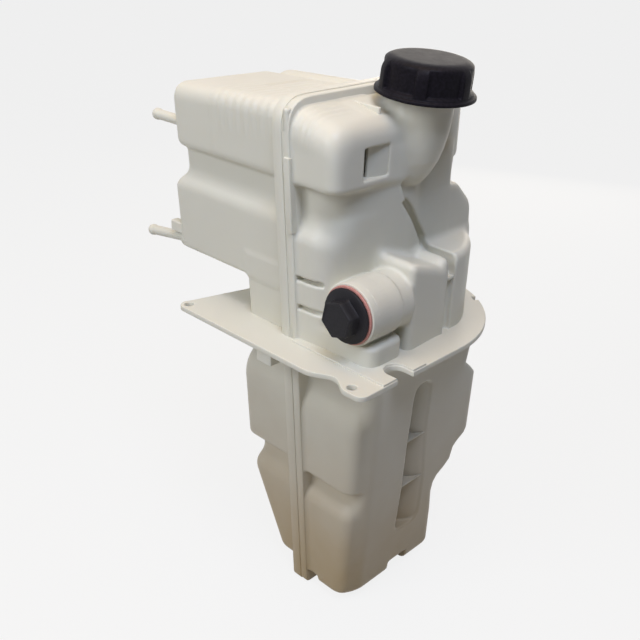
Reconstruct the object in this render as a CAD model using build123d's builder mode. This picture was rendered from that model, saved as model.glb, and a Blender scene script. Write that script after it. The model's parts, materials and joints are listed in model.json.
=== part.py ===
"""Coolant expansion tank of a heavy vehicle.

Two moulded halves are welded together at an upright seam flange. A mounting
plate runs round the waist. The front half carries the filler neck with its
screw cap, and a sensor port that is closed by a screwed plug. The cap holds
a valve insert with a pressure valve and, in the middle of that, a vacuum
valve.

Frame: +Z up, +X towards the filler neck, origin midway between the two bolt
holes of the mounting plate, on the plate's underside. Millimetres.
"""

import os
from math import cos, radians, sin

from build123d import *

# Where the tank stands on its mounting holes
SEAM_X = 9.0
MIDDLE_Y = 127.5

# Moulded walls
WALL = 4.5
INSIDE_BEVEL = 0.85
LARGE_ROUND = 9.0
UPPER_ROUND = 16.0
SHOULDER_ROUND = 15.0
BELLY_ROUND = 11.0
BLOCK_ROUND = 9.0
LOWER_ROUND = 8.0
SHOULDER_WALL = 1.5
RIB = 3.0
REACH = 420.0
OVERLAP = 40.0

# Seam flange
FLANGE_HALF = 103.0
FLANGE_LEAN = 0.075
FLANGE_PROUD = 8.0
FLANGE_REAR = 9.0
FLANGE_FRONT = 6.0
FLANGE_STEP = 1.5
FLANGE_TOP = 224.0
FLANGE_TOP_RADIUS = 26.0
FLANGE_FOOT_RADIUS = 8.0
STRIP_LOW = 108.0
STRIP_HIGH = 165.0

# Heights shared by the lobes of both halves
TANK_TOP = 217.0
TOP_FALL = 27.0
UPPER_LOBE_FOOT = 154.0
LOWER_LOBE_TOP = 117.0
BLOCK_FOOT = 45.0
WAIST_TOP = 60.0
WAIST_FOOT = -20.0
BELLY_TOP = -75.0
BELLY_FOOT = -145.0
KEEL_TOP = -178.0
KEEL_FOOT = -290.0
REAR_KEEL_FOOT = -275.0

# Grooves between the lobes
GROOVE = 14.0
RIGHT_GROOVE = 22.0
GROOVE_SLOPE = 16.0
CORE_LAP = 20.0

# Depths of the rear half behind the seam
BLOCK_DEPTH = 159.0
LOWER_BLOCK_DEPTH = 166.0
BLOCK_TOP_FALL = 6.0
RIDGE = 40.0
VALLEY = 20.0
VALLEY_RADIUS = 18.0
VALLEY_DEPTH = 8.0
WAIST_DEPTH = 66.0
BELLY_DEPTH = 82.0
KEEL_TOP_DEPTH = 78.0
KEEL_FOOT_DEPTH = 40.0

# Depths of the front half ahead of the seam
SHOULDER_DEPTH = 57.0
SHOULDER_END = -28.0
SHOULDER_FALL = 12.0
FRONT_WALL_DEPTH = 47.0
RIGHT_WALL_DEPTH = 36.0
RIGHT_CORNER = 30.0
BLOCK_TOP = 80.0
BLOCK_RISE = 12.0
PORT_BLOCK_LEFT = -44.0
PORT_BLOCK_DEPTH = 90.0
PORT_BLOCK_MIDDLE = 77.0
BLOCK_TURNS = ((14.0, 0.0), (53.0, 3.0), (77.0, 12.0))
BLOCK_CORNER = 38.0
KEEL_FRONT_TOP = 84.0
KEEL_FRONT_FOOT = 62.0
KEEL_RIGHT = 46.0
SCALLOP_TOP = 78.0
SCALLOP_MIDDLE = 66.0
SCALLOP_DROP = 27.0
SCALLOP_RADIUS = 28.0

# Pockets in the front half
GULLY_TOP = 130.0
GULLY_LEFT = 1.0
GULLY_DRIFT = 19.0
GULLY_WIDTH = 9.0
GULLY_SPREAD = 9.0
GULLY_DEPTH = 16.0
BRIDGE_HEIGHT = 62.0
WINDOW_LEFT = -78.0
WINDOW_RIGHT = -47.0
WINDOW_LOW = 160.0
WINDOW_HIGH = 187.0
WINDOW_DEPTH = 14.0
SLOT_LEFT = -12.0
SLOT_WIDTH = 16.0
SLOT_HIGH = -57.0
SLOT_LOW = -230.0
SLOT_DEPTH = 18.0
SLOT_CORNER = 7.0
SLOT_WEBS = (-117.0, -170.0)
CHANNEL_LEFT = -11.0
CHANNEL_RIGHT = 18.0
CHANNEL_HEIGHT = 15.0
FOOT_GAP = 16.0
FOOT_GAP_HEIGHT = 10.0
SLIT_LENGTH = 27.0
SLIT_HEIGHT = 4.0
SLIT_DEPTH = 2.5
SLITS = (37.0, 65.0)
FIN_SIDE = -49.0
FIN_LENGTH = 37.0
FIN_HEIGHT = 9.0

# Mounting plate
PLATE = 5.0
PLATE_RADIUS = 118.0
PLATE_EDGE = 8.5
HOLE_SPACING = 217.0
HOLE_RADIUS = 4.5
NOTCH_RADIUS = 10.5
NOTCH_SIDE = -80.0
NOTCH_DEPTH = 21.0
CUTOUT_RADIUS = 22.0
CUTOUT_DEPTH = 10.0
CUTOUT_AHEAD = 78.0
TAB_NOTCH = 8.0
TAB_NOTCH_ANGLE = 57.0
REAR_EDGE_ANGLE = 208.0
STEP_SIDE = -110.0
STEP_WIDTH = 4.0
STEP_HEIGHT = 1.5
LIP_HEIGHT = 11.0

# Filler neck, along its own axis from the underside of the cap's lip
NECK_AHEAD = 55.0
NECK_SIDE = -4.0
NECK_HEIGHT = 222.0
NECK_TILT = 5.0
NECK_RADIUS = 26.5
NECK_THREAD_RADIUS = 29.5
NECK_THREAD_FOOT = 1.0
FUNNEL_TOP = -14.0
FUNNEL_TIP = -80.0
FUNNEL_STEPS = ((0.35, 0.92), (0.7, 0.65), (1.0, 0.28))
THROAT_FOOT = -45.0
THROAT_RADIUS = 15.0
THROAT_LOW = 163.0
THROAT_HIGH = 200.0
THROAT_WIDTH = 18.0
THROAT_REACH = 46.0

# Screw cap
CAP_HEIGHT = 30.5
CAP_RADIUS = 39.5
CAP_LIP_RADIUS = 43.5
CAP_LIP = 3.0
CAP_TOP = 3.5
CAP_EDGE = 3.5
CAP_BARS = 6
CAP_BAR_WIDTH = 13.0
CAP_BAR_ANGLE = -52.6
CAP_PANEL_DEPTH = 4.0
CAP_PANEL_LOW = 6.0
CAP_PANEL_HIGH = 27.0
CAP_CLEARANCE = 0.5

# Valve insert in the cap
INSERT_FLANGE = 2.5
CAP_SEAL = 2.5
INSERT_CLEARANCE = 2.0
INSERT_WALL = 3.5
INSERT_FLOOR = 3.0
INSERT_FOOT = 0.5
INSERT_HOLE = 10.0
RING = 3.0
RING_HEIGHT = 8.0
RUNNING_GAP = 0.3

# Valves
PRESSURE_DISC = 14.0
PRESSURE_DISC_THICKNESS = 2.5
PRESSURE_WIRE = 1.0
PRESSURE_COIL = 11.0
PRESSURE_SPRING_HEIGHT = 13.0
PRESSURE_TURNS = 2
SPRING_BENDS = 10
RETAINER = 2.5
RETAINER_HOLE = 8.0
VACUUM_DISC = 8.0
VACUUM_DISC_THICKNESS = 2.5
STEM_RADIUS = 2.4
STEM_HOLE = 2.8
COLLAR_RADIUS = 4.4
COLLAR = 2.0
VACUUM_WIRE = 0.5
VACUUM_COIL = 3.6
VACUUM_SPRING_HEIGHT = 9.0
VACUUM_TURNS = 2

# Sensor port and its plug, along the port's axis from the boss's end face
PORT_AHEAD = 68.0
PORT_HEIGHT = 51.0
PORT_FACE = -100.0
BOSS_RADIUS = 28.0
COLLAR_PROUD = 2.0
COLLAR_LENGTH = 16.0
PEDESTAL_TOP = 25.0
PEDESTAL_FRONT = 95.0
PEDESTAL_CORNER = 20.0
PEDESTAL_SET_BACK = 2.0
PORT_WAY = 16.0
PLUG_SHANK_RADIUS = 20.0
PLUG_SHANK = 20.0
PLUG_WALL = 4.0
PLUG_FLANGE_RADIUS = 25.0
PLUG_FLANGE = 4.0
PLUG_HEX = 31.5
PLUG_HEX_HEIGHT = 15.0
PLUG_EDGE = 1.5
PLUG_SEAL_RADIUS = 26.5
PLUG_SEAL = 3.0

# Hose stubs on the rear face
STUB_RADIUS = 4.3
STUB_BORE = 3.0
STUB_BEAD = 5.0
STUB_BEAD_LENGTH = 6.0
STUB_SIDE = -90.0
STUB_ROOT = 14.0
UPPER_STUB_HEIGHT = 170.0
UPPER_STUB_LENGTH = 50.0
LOWER_STUB_HEIGHT = 52.0
LOWER_STUB_LENGTH = 62.0
LOWER_STUB_DROOP = 8.0


def edge(z):
    """Distance of the flange's edge from the middle plane at a height."""
    return FLANGE_HALF + FLANGE_LEAN * z


def side(z):
    """Distance of the side walls from the middle plane at a height."""
    return edge(z) - FLANGE_PROUD


across = Plane(origin=(SEAM_X, MIDDLE_Y, 0), x_dir=(0, 1, 0), z_dir=(1, 0, 0))
along = Plane(origin=(SEAM_X, MIDDLE_Y, 0), x_dir=(1, 0, 0), z_dir=(0, -1, 0))
plan = Plane(origin=(SEAM_X, MIDDLE_Y, 0))

lean = radians(NECK_TILT)
neck_foot = (SEAM_X + NECK_AHEAD, MIDDLE_Y + NECK_SIDE, NECK_HEIGHT)
neck = Plane(origin=neck_foot, x_dir=(cos(lean), 0, -sin(lean)), z_dir=(sin(lean), 0, cos(lean)))
neck_section = Plane(origin=neck_foot, x_dir=neck.x_dir, z_dir=-neck.y_dir)
neck_axis = Axis(neck.origin, neck.z_dir)

port_face = (SEAM_X + PORT_AHEAD, MIDDLE_Y + PORT_FACE, PORT_HEIGHT)
port = Plane(origin=port_face, x_dir=(1, 0, 0), z_dir=(0, -1, 0))
port_section = Plane(origin=port_face, x_dir=(1, 0, 0), z_dir=(0, 0, -1))
port_axis = Axis(port.origin, port.z_dir)


def lobe(radius, inset, *views, sharp_top=False, sharp_foot=False):
    """Solid that shows a given outline in each view, rounded outside and bevelled inside."""
    bevel = INSIDE_BEVEL * (radius - inset) if inset > 0 and radius > LARGE_ROUND else 0
    with BuildPart() as body:
        for number, (view, outline) in enumerate(views):
            with BuildSketch(view) as face:
                with BuildLine():
                    Polyline(*outline, close=True)
                make_face()
                if inset:
                    offset(amount=-inset, kind=Kind.INTERSECTION)
                if bevel:
                    chamfer(face.vertices(), bevel)
            extrude(amount=REACH, both=True, mode=Mode.INTERSECT if number else Mode.ADD)
        if bevel:
            limits = body.part.bounding_box()
            with BuildSketch() as face:
                with Locations(limits.center()):
                    Rectangle(limits.size.X, limits.size.Y)
                chamfer(face.vertices(), bevel)
            extrude(amount=REACH, both=True, mode=Mode.INTERSECT)
        if radius and not inset:
            rounded = body.edges()
            if sharp_top:
                rounded = rounded - body.faces().sort_by(Axis.Z)[-1].edges()
            if sharp_foot:
                rounded = rounded - body.faces().sort_by(Axis.Z)[0].edges()
            fillet(rounded, radius)
    return body.part


def turned(section, axis, *outline):
    """Solid of revolution from its half section, as radius and height points."""
    with BuildPart() as body:
        with BuildSketch(section):
            with BuildLine():
                Polyline(*outline, close=True)
            make_face()
        revolve(axis=axis)
    return body.part


def box(left, right, low, high):
    """Rectangular outline."""
    return [(left, low), (right, low), (right, high), (left, high)]


def band(low, high, sink=0.0):
    """Outline across the tank between two heights, with its leaning sides."""
    return [
        (-side(low) + sink, low),
        (side(low) - sink, low),
        (side(high) - sink, high),
        (-side(high) + sink, high),
    ]


def bevelled_band(low, shoulder, high, sink):
    """Outline across the tank whose sides run in by sink above the shoulder."""
    return [
        (-side(low), low),
        (side(low), low),
        (side(shoulder), shoulder),
        (side(high) - sink, high),
        (-side(high) + sink, high),
        (-side(shoulder), shoulder),
    ]


def topped_band(low, sink=0.0):
    """Outline across the top of the tank, which falls away beyond the ridge."""
    right_top = TANK_TOP - TOP_FALL
    return [
        (-side(low) + sink, low),
        (side(low), low),
        (side(right_top), right_top),
        (RIDGE, TANK_TOP - BLOCK_TOP_FALL / 2),
        (-side(TANK_TOP) + sink, TANK_TOP),
    ]


def keel_front(z):
    """How far the leaning front face of the keel stands ahead of the seam."""
    return KEEL_FRONT_TOP - (BELLY_TOP - z) * (KEEL_FRONT_TOP - KEEL_FRONT_FOOT) / (BELLY_TOP - KEEL_FOOT)


def rear_form(inset):
    """Lobes of the rear half, or of its hollow when inset by the wall."""
    upper_view = [
        (-BLOCK_DEPTH, UPPER_LOBE_FOOT),
        (OVERLAP, UPPER_LOBE_FOOT),
        (OVERLAP, TANK_TOP),
        (0, TANK_TOP),
        (-BLOCK_DEPTH, TANK_TOP - BLOCK_TOP_FALL),
    ]
    upper = lobe(UPPER_ROUND, inset, (across, topped_band(UPPER_LOBE_FOOT)), (along, upper_view))
    core_low = LOWER_LOBE_TOP - CORE_LAP
    core_high = UPPER_LOBE_FOOT + CORE_LAP
    core_view = box(-BLOCK_DEPTH + GROOVE, OVERLAP, core_low, core_high)
    core = lobe(0, inset, (across, band(core_low, core_high, GROOVE)), (along, core_view))
    lower_view = [
        (-LOWER_BLOCK_DEPTH, BLOCK_FOOT),
        (OVERLAP, BLOCK_FOOT),
        (OVERLAP, LOWER_LOBE_TOP),
        (-LOWER_BLOCK_DEPTH + GROOVE, LOWER_LOBE_TOP),
        (-LOWER_BLOCK_DEPTH, LOWER_LOBE_TOP - GROOVE_SLOPE),
    ]
    lower_band = bevelled_band(BLOCK_FOOT, LOWER_LOBE_TOP - GROOVE_SLOPE, LOWER_LOBE_TOP, GROOVE)
    lower = lobe(LOWER_ROUND, inset, (across, lower_band), (along, lower_view), sharp_top=True)
    waist_view = box(-WAIST_DEPTH, OVERLAP, 0, WAIST_TOP)
    waist = lobe(0, inset, (across, band(0, WAIST_TOP)), (along, waist_view))
    stem_low = KEEL_TOP - CORE_LAP
    stem_view = box(-WAIST_DEPTH, OVERLAP, stem_low, WAIST_TOP)
    stem_band = [
        (-side(stem_low) + GROOVE, stem_low),
        (KEEL_RIGHT - GROOVE, stem_low),
        (KEEL_RIGHT - GROOVE, KEEL_TOP),
        (SCALLOP_MIDDLE - GROOVE, BELLY_FOOT),
        (side(WAIST_TOP) - GROOVE, BELLY_TOP),
        (side(WAIST_TOP) - GROOVE, WAIST_TOP),
        (-side(WAIST_TOP) + GROOVE, WAIST_TOP),
    ]
    stem = lobe(0, inset, (across, stem_band), (along, stem_view))
    belly_view = [
        (-BELLY_DEPTH, BELLY_FOOT),
        (OVERLAP, BELLY_FOOT),
        (OVERLAP, WAIST_FOOT),
        (-WAIST_DEPTH, WAIST_FOOT),
        (-BELLY_DEPTH, BELLY_TOP),
    ]
    belly_band = bevelled_band(BELLY_FOOT, BELLY_TOP, WAIST_FOOT, GROOVE)
    belly = lobe(BLOCK_ROUND, inset, (across, belly_band), (along, belly_view), sharp_top=True)
    keel_high = KEEL_TOP + GROOVE_SLOPE
    keel_view = [
        (-KEEL_FOOT_DEPTH, REAR_KEEL_FOOT),
        (OVERLAP, REAR_KEEL_FOOT),
        (OVERLAP, keel_high),
        (-KEEL_TOP_DEPTH + GROOVE, keel_high),
        (-KEEL_TOP_DEPTH, KEEL_TOP),
    ]
    keel_band = [
        (-side(REAR_KEEL_FOOT), REAR_KEEL_FOOT),
        (KEEL_RIGHT, REAR_KEEL_FOOT),
        (KEEL_RIGHT, KEEL_TOP),
        (KEEL_RIGHT - GROOVE, keel_high),
        (-side(keel_high) + GROOVE, keel_high),
        (-side(KEEL_TOP), KEEL_TOP),
    ]
    keel = lobe(BLOCK_ROUND, inset, (across, keel_band), (along, keel_view), sharp_top=True)
    return [upper, core, lower, waist, stem, belly, keel]


def rear_pockets(grow):
    """Hollows in the rear half's outside, grown by the wall for its inside."""
    valley_foot = TANK_TOP - BLOCK_TOP_FALL - VALLEY_DEPTH
    with BuildPart() as valley:
        with BuildSketch(across):
            with Locations((VALLEY, valley_foot + VALLEY_RADIUS)):
                Circle(VALLEY_RADIUS + grow)
        extrude(amount=-REACH)
    return [valley.part]


def front_form(inset):
    """Lobes of the front half, or of its hollow when inset by the wall."""
    shoulder_band = [
        (-side(UPPER_LOBE_FOOT), UPPER_LOBE_FOOT),
        (SHOULDER_END, UPPER_LOBE_FOOT),
        (SHOULDER_END, TANK_TOP),
        (-side(TANK_TOP), TANK_TOP),
    ]
    shoulder_view = [
        (-OVERLAP, UPPER_LOBE_FOOT),
        (SHOULDER_DEPTH, UPPER_LOBE_FOOT),
        (SHOULDER_DEPTH, TANK_TOP - SHOULDER_FALL),
        (FLANGE_FRONT, TANK_TOP),
        (-OVERLAP, TANK_TOP),
    ]
    shoulder = lobe(SHOULDER_ROUND, SHOULDER_WALL * inset, (across, shoulder_band), (along, shoulder_view))
    right_plan = [
        (-OVERLAP, -REACH / 2),
        (RIGHT_WALL_DEPTH, -REACH / 2),
        (RIGHT_WALL_DEPTH, side(UPPER_LOBE_FOOT) - RIGHT_CORNER),
        (RIGHT_WALL_DEPTH - RIGHT_CORNER, side(TANK_TOP)),
        (-OVERLAP, side(TANK_TOP)),
    ]
    right_view = [
        (-OVERLAP, UPPER_LOBE_FOOT),
        (REACH / 2, UPPER_LOBE_FOOT),
        (RIGHT_WALL_DEPTH, TANK_TOP - SHOULDER_FALL),
        (FLANGE_FRONT, TANK_TOP),
        (-OVERLAP, TANK_TOP),
    ]
    right_band = topped_band(UPPER_LOBE_FOOT, GROOVE)
    right = lobe(0, inset, (across, right_band), (plan, right_plan), (along, right_view))
    core_low = WAIST_FOOT
    core_high = UPPER_LOBE_FOOT + CORE_LAP
    wall_view = [
        (-OVERLAP, core_low),
        (FRONT_WALL_DEPTH, core_low),
        (FRONT_WALL_DEPTH, LOWER_LOBE_TOP - GROOVE),
        (RIGHT_WALL_DEPTH, UPPER_LOBE_FOOT - GROOVE),
        (RIGHT_WALL_DEPTH, core_high),
        (-OVERLAP, core_high),
    ]
    wall_band = [
        (-side(core_low) + GROOVE, core_low),
        (side(core_low) - RIGHT_GROOVE, core_low),
        (side(core_high) - RIGHT_GROOVE, core_high),
        (-side(core_high) + GROOVE, core_high),
    ]
    wall = lobe(0, inset, (across, wall_band), (along, wall_view))
    lower_view = box(-OVERLAP, FRONT_WALL_DEPTH, 0, LOWER_LOBE_TOP)
    lower_band = bevelled_band(0, LOWER_LOBE_TOP - GROOVE_SLOPE, LOWER_LOBE_TOP, GROOVE)
    lower = lobe(BLOCK_ROUND, inset, (across, lower_band), (along, lower_view), sharp_foot=True)
    block_plan = [
        (-OVERLAP, PORT_BLOCK_LEFT),
        (PORT_BLOCK_DEPTH, PORT_BLOCK_LEFT),
        *[(PORT_BLOCK_MIDDLE - retreat, turn) for turn, retreat in BLOCK_TURNS],
        (PORT_BLOCK_MIDDLE - BLOCK_CORNER, side(0)),
        (-OVERLAP, side(0)),
    ]
    block_band = [
        (PORT_BLOCK_LEFT, 0),
        (side(0), 0),
        (side(0), BLOCK_TOP),
        (GULLY_LEFT + GULLY_DRIFT, BLOCK_TOP),
        (PORT_BLOCK_LEFT, BLOCK_TOP + BLOCK_RISE),
    ]
    block = lobe(BLOCK_ROUND, inset, (plan, block_plan), (across, block_band), sharp_foot=True)
    near = PORT_FACE + PEDESTAL_SET_BACK
    pedestal_plan = [
        (-OVERLAP, near),
        (PEDESTAL_FRONT - PEDESTAL_CORNER, near),
        (PEDESTAL_FRONT - PEDESTAL_CORNER / 4, near + PEDESTAL_CORNER / 4),
        (PEDESTAL_FRONT, near + PEDESTAL_CORNER),
        (PEDESTAL_FRONT, PORT_BLOCK_LEFT),
        (-OVERLAP, PORT_BLOCK_LEFT),
    ]
    pedestal_view = box(-OVERLAP, REACH / 2, 0, PEDESTAL_TOP)
    pedestal = lobe(0, inset, (plan, pedestal_plan), (along, pedestal_view))
    return [shoulder, right, wall, lower, block, pedestal]


def scallop_points():
    """Ends of the two scallops down the right side of the keel, from the top."""
    return [
        (SCALLOP_TOP, BELLY_FOOT),
        (SCALLOP_MIDDLE, BELLY_FOOT - SCALLOP_DROP),
        (KEEL_RIGHT, BELLY_FOOT - 2 * SCALLOP_DROP),
    ]


def keel_form(inset):
    """Lobes of the front half below the plate, or of its hollow."""
    keel_band = [
        (-side(KEEL_FOOT) + GROOVE, KEEL_FOOT),
        (KEEL_RIGHT, KEEL_FOOT),
        *scallop_points()[::-1],
        (side(0) - GROOVE, 0),
        (-side(0) + GROOVE, 0),
    ]
    keel_view = [
        (-OVERLAP, KEEL_FOOT),
        (KEEL_FRONT_FOOT, KEEL_FOOT),
        (KEEL_FRONT_TOP, BELLY_TOP),
        (KEEL_FRONT_TOP - GROOVE, 0),
        (-OVERLAP, 0),
    ]
    keel = lobe(BLOCK_ROUND, inset, (across, keel_band), (along, keel_view), sharp_top=True)
    belly_view = [
        (-OVERLAP, BELLY_FOOT),
        (keel_front(BELLY_FOOT), BELLY_FOOT),
        (KEEL_FRONT_TOP, BELLY_TOP),
        (KEEL_FRONT_TOP - GROOVE, WAIST_FOOT),
        (-OVERLAP, WAIST_FOOT),
    ]
    belly_band = bevelled_band(BELLY_FOOT, BELLY_TOP, WAIST_FOOT, GROOVE)
    belly = lobe(BELLY_ROUND, inset, (across, belly_band), (along, belly_view), sharp_top=True)
    lobe_high = KEEL_TOP + GROOVE_SLOPE
    lower_band = [
        (-side(KEEL_FOOT), KEEL_FOOT),
        (0, KEEL_FOOT),
        (0, lobe_high),
        (-side(lobe_high) + GROOVE, lobe_high),
        (-side(KEEL_TOP), KEEL_TOP),
    ]
    lower_view = [
        (-OVERLAP, KEEL_FOOT),
        (KEEL_FRONT_FOOT, KEEL_FOOT),
        (keel_front(lobe_high), lobe_high),
        (-OVERLAP, lobe_high),
    ]
    lower = lobe(BELLY_ROUND, inset, (across, lower_band), (along, lower_view), sharp_top=True)
    return [keel, belly, lower]


def gully(grow):
    """Winding gully from the front wall over the block's top and down its front."""
    left = [
        (GULLY_LEFT, GULLY_TOP),
        (GULLY_LEFT + GULLY_DRIFT / 2, BLOCK_TOP),
        (GULLY_LEFT + GULLY_DRIFT, BLOCK_TOP - 2 * GULLY_DEPTH),
        (GULLY_LEFT + GULLY_DRIFT, PLATE),
    ]
    right = [(u + GULLY_WIDTH + GULLY_SPREAD * (u - GULLY_LEFT) / GULLY_DRIFT, z) for u, z in left]
    floor = [
        (RIGHT_WALL_DEPTH, GULLY_TOP),
        (FRONT_WALL_DEPTH - GULLY_DEPTH, LOWER_LOBE_TOP),
        (FRONT_WALL_DEPTH - GULLY_DEPTH, BLOCK_TOP),
        (FRONT_WALL_DEPTH, BLOCK_TOP - GULLY_DEPTH),
        (PORT_BLOCK_MIDDLE - GULLY_DEPTH, BLOCK_TOP - GULLY_DEPTH),
        (PORT_BLOCK_MIDDLE - GULLY_DEPTH, PLATE),
        (REACH / 2, PLATE),
        (REACH / 2, GULLY_TOP),
    ]
    return lobe(0, -grow, (across, left + right[::-1]), (along, floor))


def slot(grow):
    """Tall round-ended slot down the front of the keel."""
    floor = [
        (keel_front(SLOT_LOW) - SLOT_DEPTH - grow, SLOT_LOW - WALL),
        (REACH / 2, SLOT_LOW - WALL),
        (REACH / 2, SLOT_HIGH + WALL),
        (keel_front(SLOT_HIGH) - SLOT_DEPTH - grow, SLOT_HIGH + WALL),
    ]
    with BuildPart() as body:
        with BuildSketch(across):
            with Locations((SLOT_LEFT + SLOT_WIDTH / 2, (SLOT_LOW + SLOT_HIGH) / 2)):
                RectangleRounded(SLOT_WIDTH + 2 * grow, SLOT_HIGH - SLOT_LOW + 2 * grow, SLOT_CORNER + grow)
        extrude(amount=REACH)
        with BuildSketch(along):
            with BuildLine():
                Polyline(*floor, close=True)
            make_face()
        extrude(amount=REACH, both=True, mode=Mode.INTERSECT)
    return body.part


def scallop_centres():
    """Centres of the two scallops, whose circles pass through their ends."""
    centres = []
    ends = scallop_points()
    for top, foot in zip(ends, ends[1:]):
        chord = Vector(*foot) - Vector(*top)
        rise = (SCALLOP_RADIUS**2 - chord.length**2 / 4) ** 0.5
        outward = Vector(-chord.Y, chord.X) / chord.length
        centre = (Vector(*top) + Vector(*foot)) / 2 + outward * rise
        centres.append((centre.X, centre.Y))
    return centres


def scallops(grow):
    """Round cutters along the tank for the scallops."""
    with BuildPart() as body:
        with BuildSketch(across):
            with Locations(*scallop_centres()):
                Circle(SCALLOP_RADIUS + grow)
        extrude(amount=REACH)
    return body.part


def front_pockets(grow):
    """Hollows in the front half's outside, grown by the wall for its inside."""
    window_view = box(SHOULDER_DEPTH - WINDOW_DEPTH, REACH / 2, WINDOW_LOW, WINDOW_HIGH)
    window = lobe(0, -grow, (across, box(WINDOW_LEFT, WINDOW_RIGHT, WINDOW_LOW, WINDOW_HIGH)), (along, window_view))
    channel_high = KEEL_FOOT + CHANNEL_HEIGHT
    channel_view = box(FLANGE_FRONT + FOOT_GAP, REACH / 2, KEEL_FOOT - REACH / 2, channel_high)
    channel_band = box(CHANNEL_LEFT, CHANNEL_RIGHT, KEEL_FOOT - REACH / 2, channel_high)
    channel = lobe(0, -grow, (across, channel_band), (along, channel_view))
    gap_high = KEEL_FOOT + FOOT_GAP_HEIGHT
    gap_view = box(-OVERLAP, FLANGE_FRONT + FOOT_GAP, KEEL_FOOT - REACH / 2, gap_high)
    gap = lobe(0, -grow, (across, box(-REACH / 2, REACH / 2, KEEL_FOOT - REACH / 2, gap_high)), (along, gap_view))
    return [gully(grow), slot(grow), window, channel, gap, scallops(grow)]


def flange(depth, step):
    """One half's seam flange, its edge set in by a step."""
    right_top = TANK_TOP - TOP_FALL
    tip = (-edge(FLANGE_TOP) + step, FLANGE_TOP - step)
    outline = [
        tip,
        (-edge(KEEL_FOOT) + step, KEEL_FOOT - FLANGE_PROUD),
        (KEEL_RIGHT + FLANGE_PROUD - step, KEEL_FOOT - FLANGE_PROUD),
        (KEEL_RIGHT + FLANGE_PROUD - step, BELLY_FOOT - 2 * SCALLOP_DROP),
        (edge(BELLY_FOOT) - step, BELLY_FOOT),
        (edge(right_top) - step, right_top),
        (RIDGE, FLANGE_TOP - step),
    ]
    with BuildPart() as body:
        with BuildSketch(across) as face:
            with BuildLine():
                Polyline(*outline, close=True)
            make_face()
            fillet(face.vertices().sort_by_distance(tip)[0], FLANGE_TOP_RADIUS - step)
            fillet(face.vertices().group_by(Axis.Y)[0], FLANGE_FOOT_RADIUS)
            with Locations(*scallop_centres()):
                Circle(SCALLOP_RADIUS - FLANGE_PROUD / 2 + step, mode=Mode.SUBTRACT)
        extrude(amount=depth)
    return body.part


def plate(keep):
    """The mounting plate on one side of the seam."""
    left = -HOLE_SPACING / 2 - SEAM_X - PLATE_EDGE
    near = -MIDDLE_Y - PLATE_EDGE
    rear_turn = radians(REAR_EDGE_ANGLE)
    outline = [
        (left, near),
        (PLATE_RADIUS, near),
        (PLATE_RADIUS, 0),
        (0, 0),
        (PLATE_RADIUS * cos(rear_turn), PLATE_RADIUS * sin(rear_turn)),
        (left, near + 2 * PLATE_EDGE),
    ]
    with BuildPart() as body:
        with BuildSketch(plan) as face:
            with BuildLine():
                Polyline(*outline, close=True)
            make_face()
            fillet(face.vertices().group_by(Axis.Y)[0], PLATE_EDGE)
            Circle(PLATE_RADIUS)
            with GridLocations(HOLE_SPACING, 0, 2, 1):
                with Locations((-SEAM_X, -MIDDLE_Y)):
                    Circle(HOLE_RADIUS, mode=Mode.SUBTRACT)
            with Locations((CUTOUT_AHEAD, near - CUTOUT_RADIUS + CUTOUT_DEPTH)):
                Circle(CUTOUT_RADIUS, mode=Mode.SUBTRACT)
            with Locations((PLATE_RADIUS - NOTCH_DEPTH + NOTCH_RADIUS, NOTCH_SIDE)):
                Circle(NOTCH_RADIUS, mode=Mode.SUBTRACT)
                Rectangle(NOTCH_DEPTH, 2 * NOTCH_RADIUS, align=(Align.MIN, Align.CENTER), mode=Mode.SUBTRACT)
            with PolarLocations(PLATE_RADIUS, 1, start_angle=TAB_NOTCH_ANGLE):
                Rectangle(TAB_NOTCH, TAB_NOTCH, mode=Mode.SUBTRACT)
        extrude(amount=PLATE)
        split(bisect_by=across, keep=keep)
    return body.part


def lip(depth):
    """Seam flange under the plate, out to the plate's near edge."""
    with BuildPart() as body:
        with BuildSketch(across):
            with BuildLine():
                Polyline(*box(-MIDDLE_Y - PLATE_EDGE + FLANGE_STEP, -side(0), -LIP_HEIGHT, 0), close=True)
            make_face()
        extrude(amount=depth)
    return body.part


def stub(rear, height, length, droop):
    """Hose stub with its bead, and the bore through it."""
    fall = radians(droop)
    root = Plane(
        origin=(SEAM_X - rear, MIDDLE_Y + STUB_SIDE, height),
        x_dir=(0, 1, 0),
        z_dir=(-cos(fall), 0, -sin(fall)),
    )
    with BuildPart() as tube:
        with BuildSketch(root.offset(-STUB_ROOT)):
            Circle(STUB_RADIUS)
        extrude(amount=STUB_ROOT + length)
        with BuildSketch(root.offset(length - STUB_BEAD_LENGTH)):
            Circle(STUB_BEAD)
        extrude(amount=STUB_BEAD_LENGTH)
    with BuildPart() as bore:
        with BuildSketch(root.offset(-STUB_ROOT)):
            Circle(STUB_BORE)
        extrude(amount=STUB_ROOT + length)
    return tube.part, bore.part


def funnel_outline():
    """Half section of the neck's body, which runs down to a tip on the front wall."""
    depth = FUNNEL_TIP - FUNNEL_TOP
    steps = [(NECK_RADIUS * fullness, FUNNEL_TOP + share * depth) for share, fullness in FUNNEL_STEPS]
    return [(0, FUNNEL_TIP), *steps[::-1], (NECK_RADIUS, FUNNEL_TOP)]


def bridge():
    """Thin web across the gully, let into its sides."""
    with BuildPart() as body:
        add(gully(WALL / 2))
        with BuildSketch(plan.offset(BRIDGE_HEIGHT)):
            Rectangle(PORT_BLOCK_MIDDLE - RIB, REACH, align=(Align.MIN, Align.CENTER))
        extrude(amount=RIB, mode=Mode.INTERSECT)
    return body.part


os.makedirs("parts", exist_ok=True)

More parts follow.
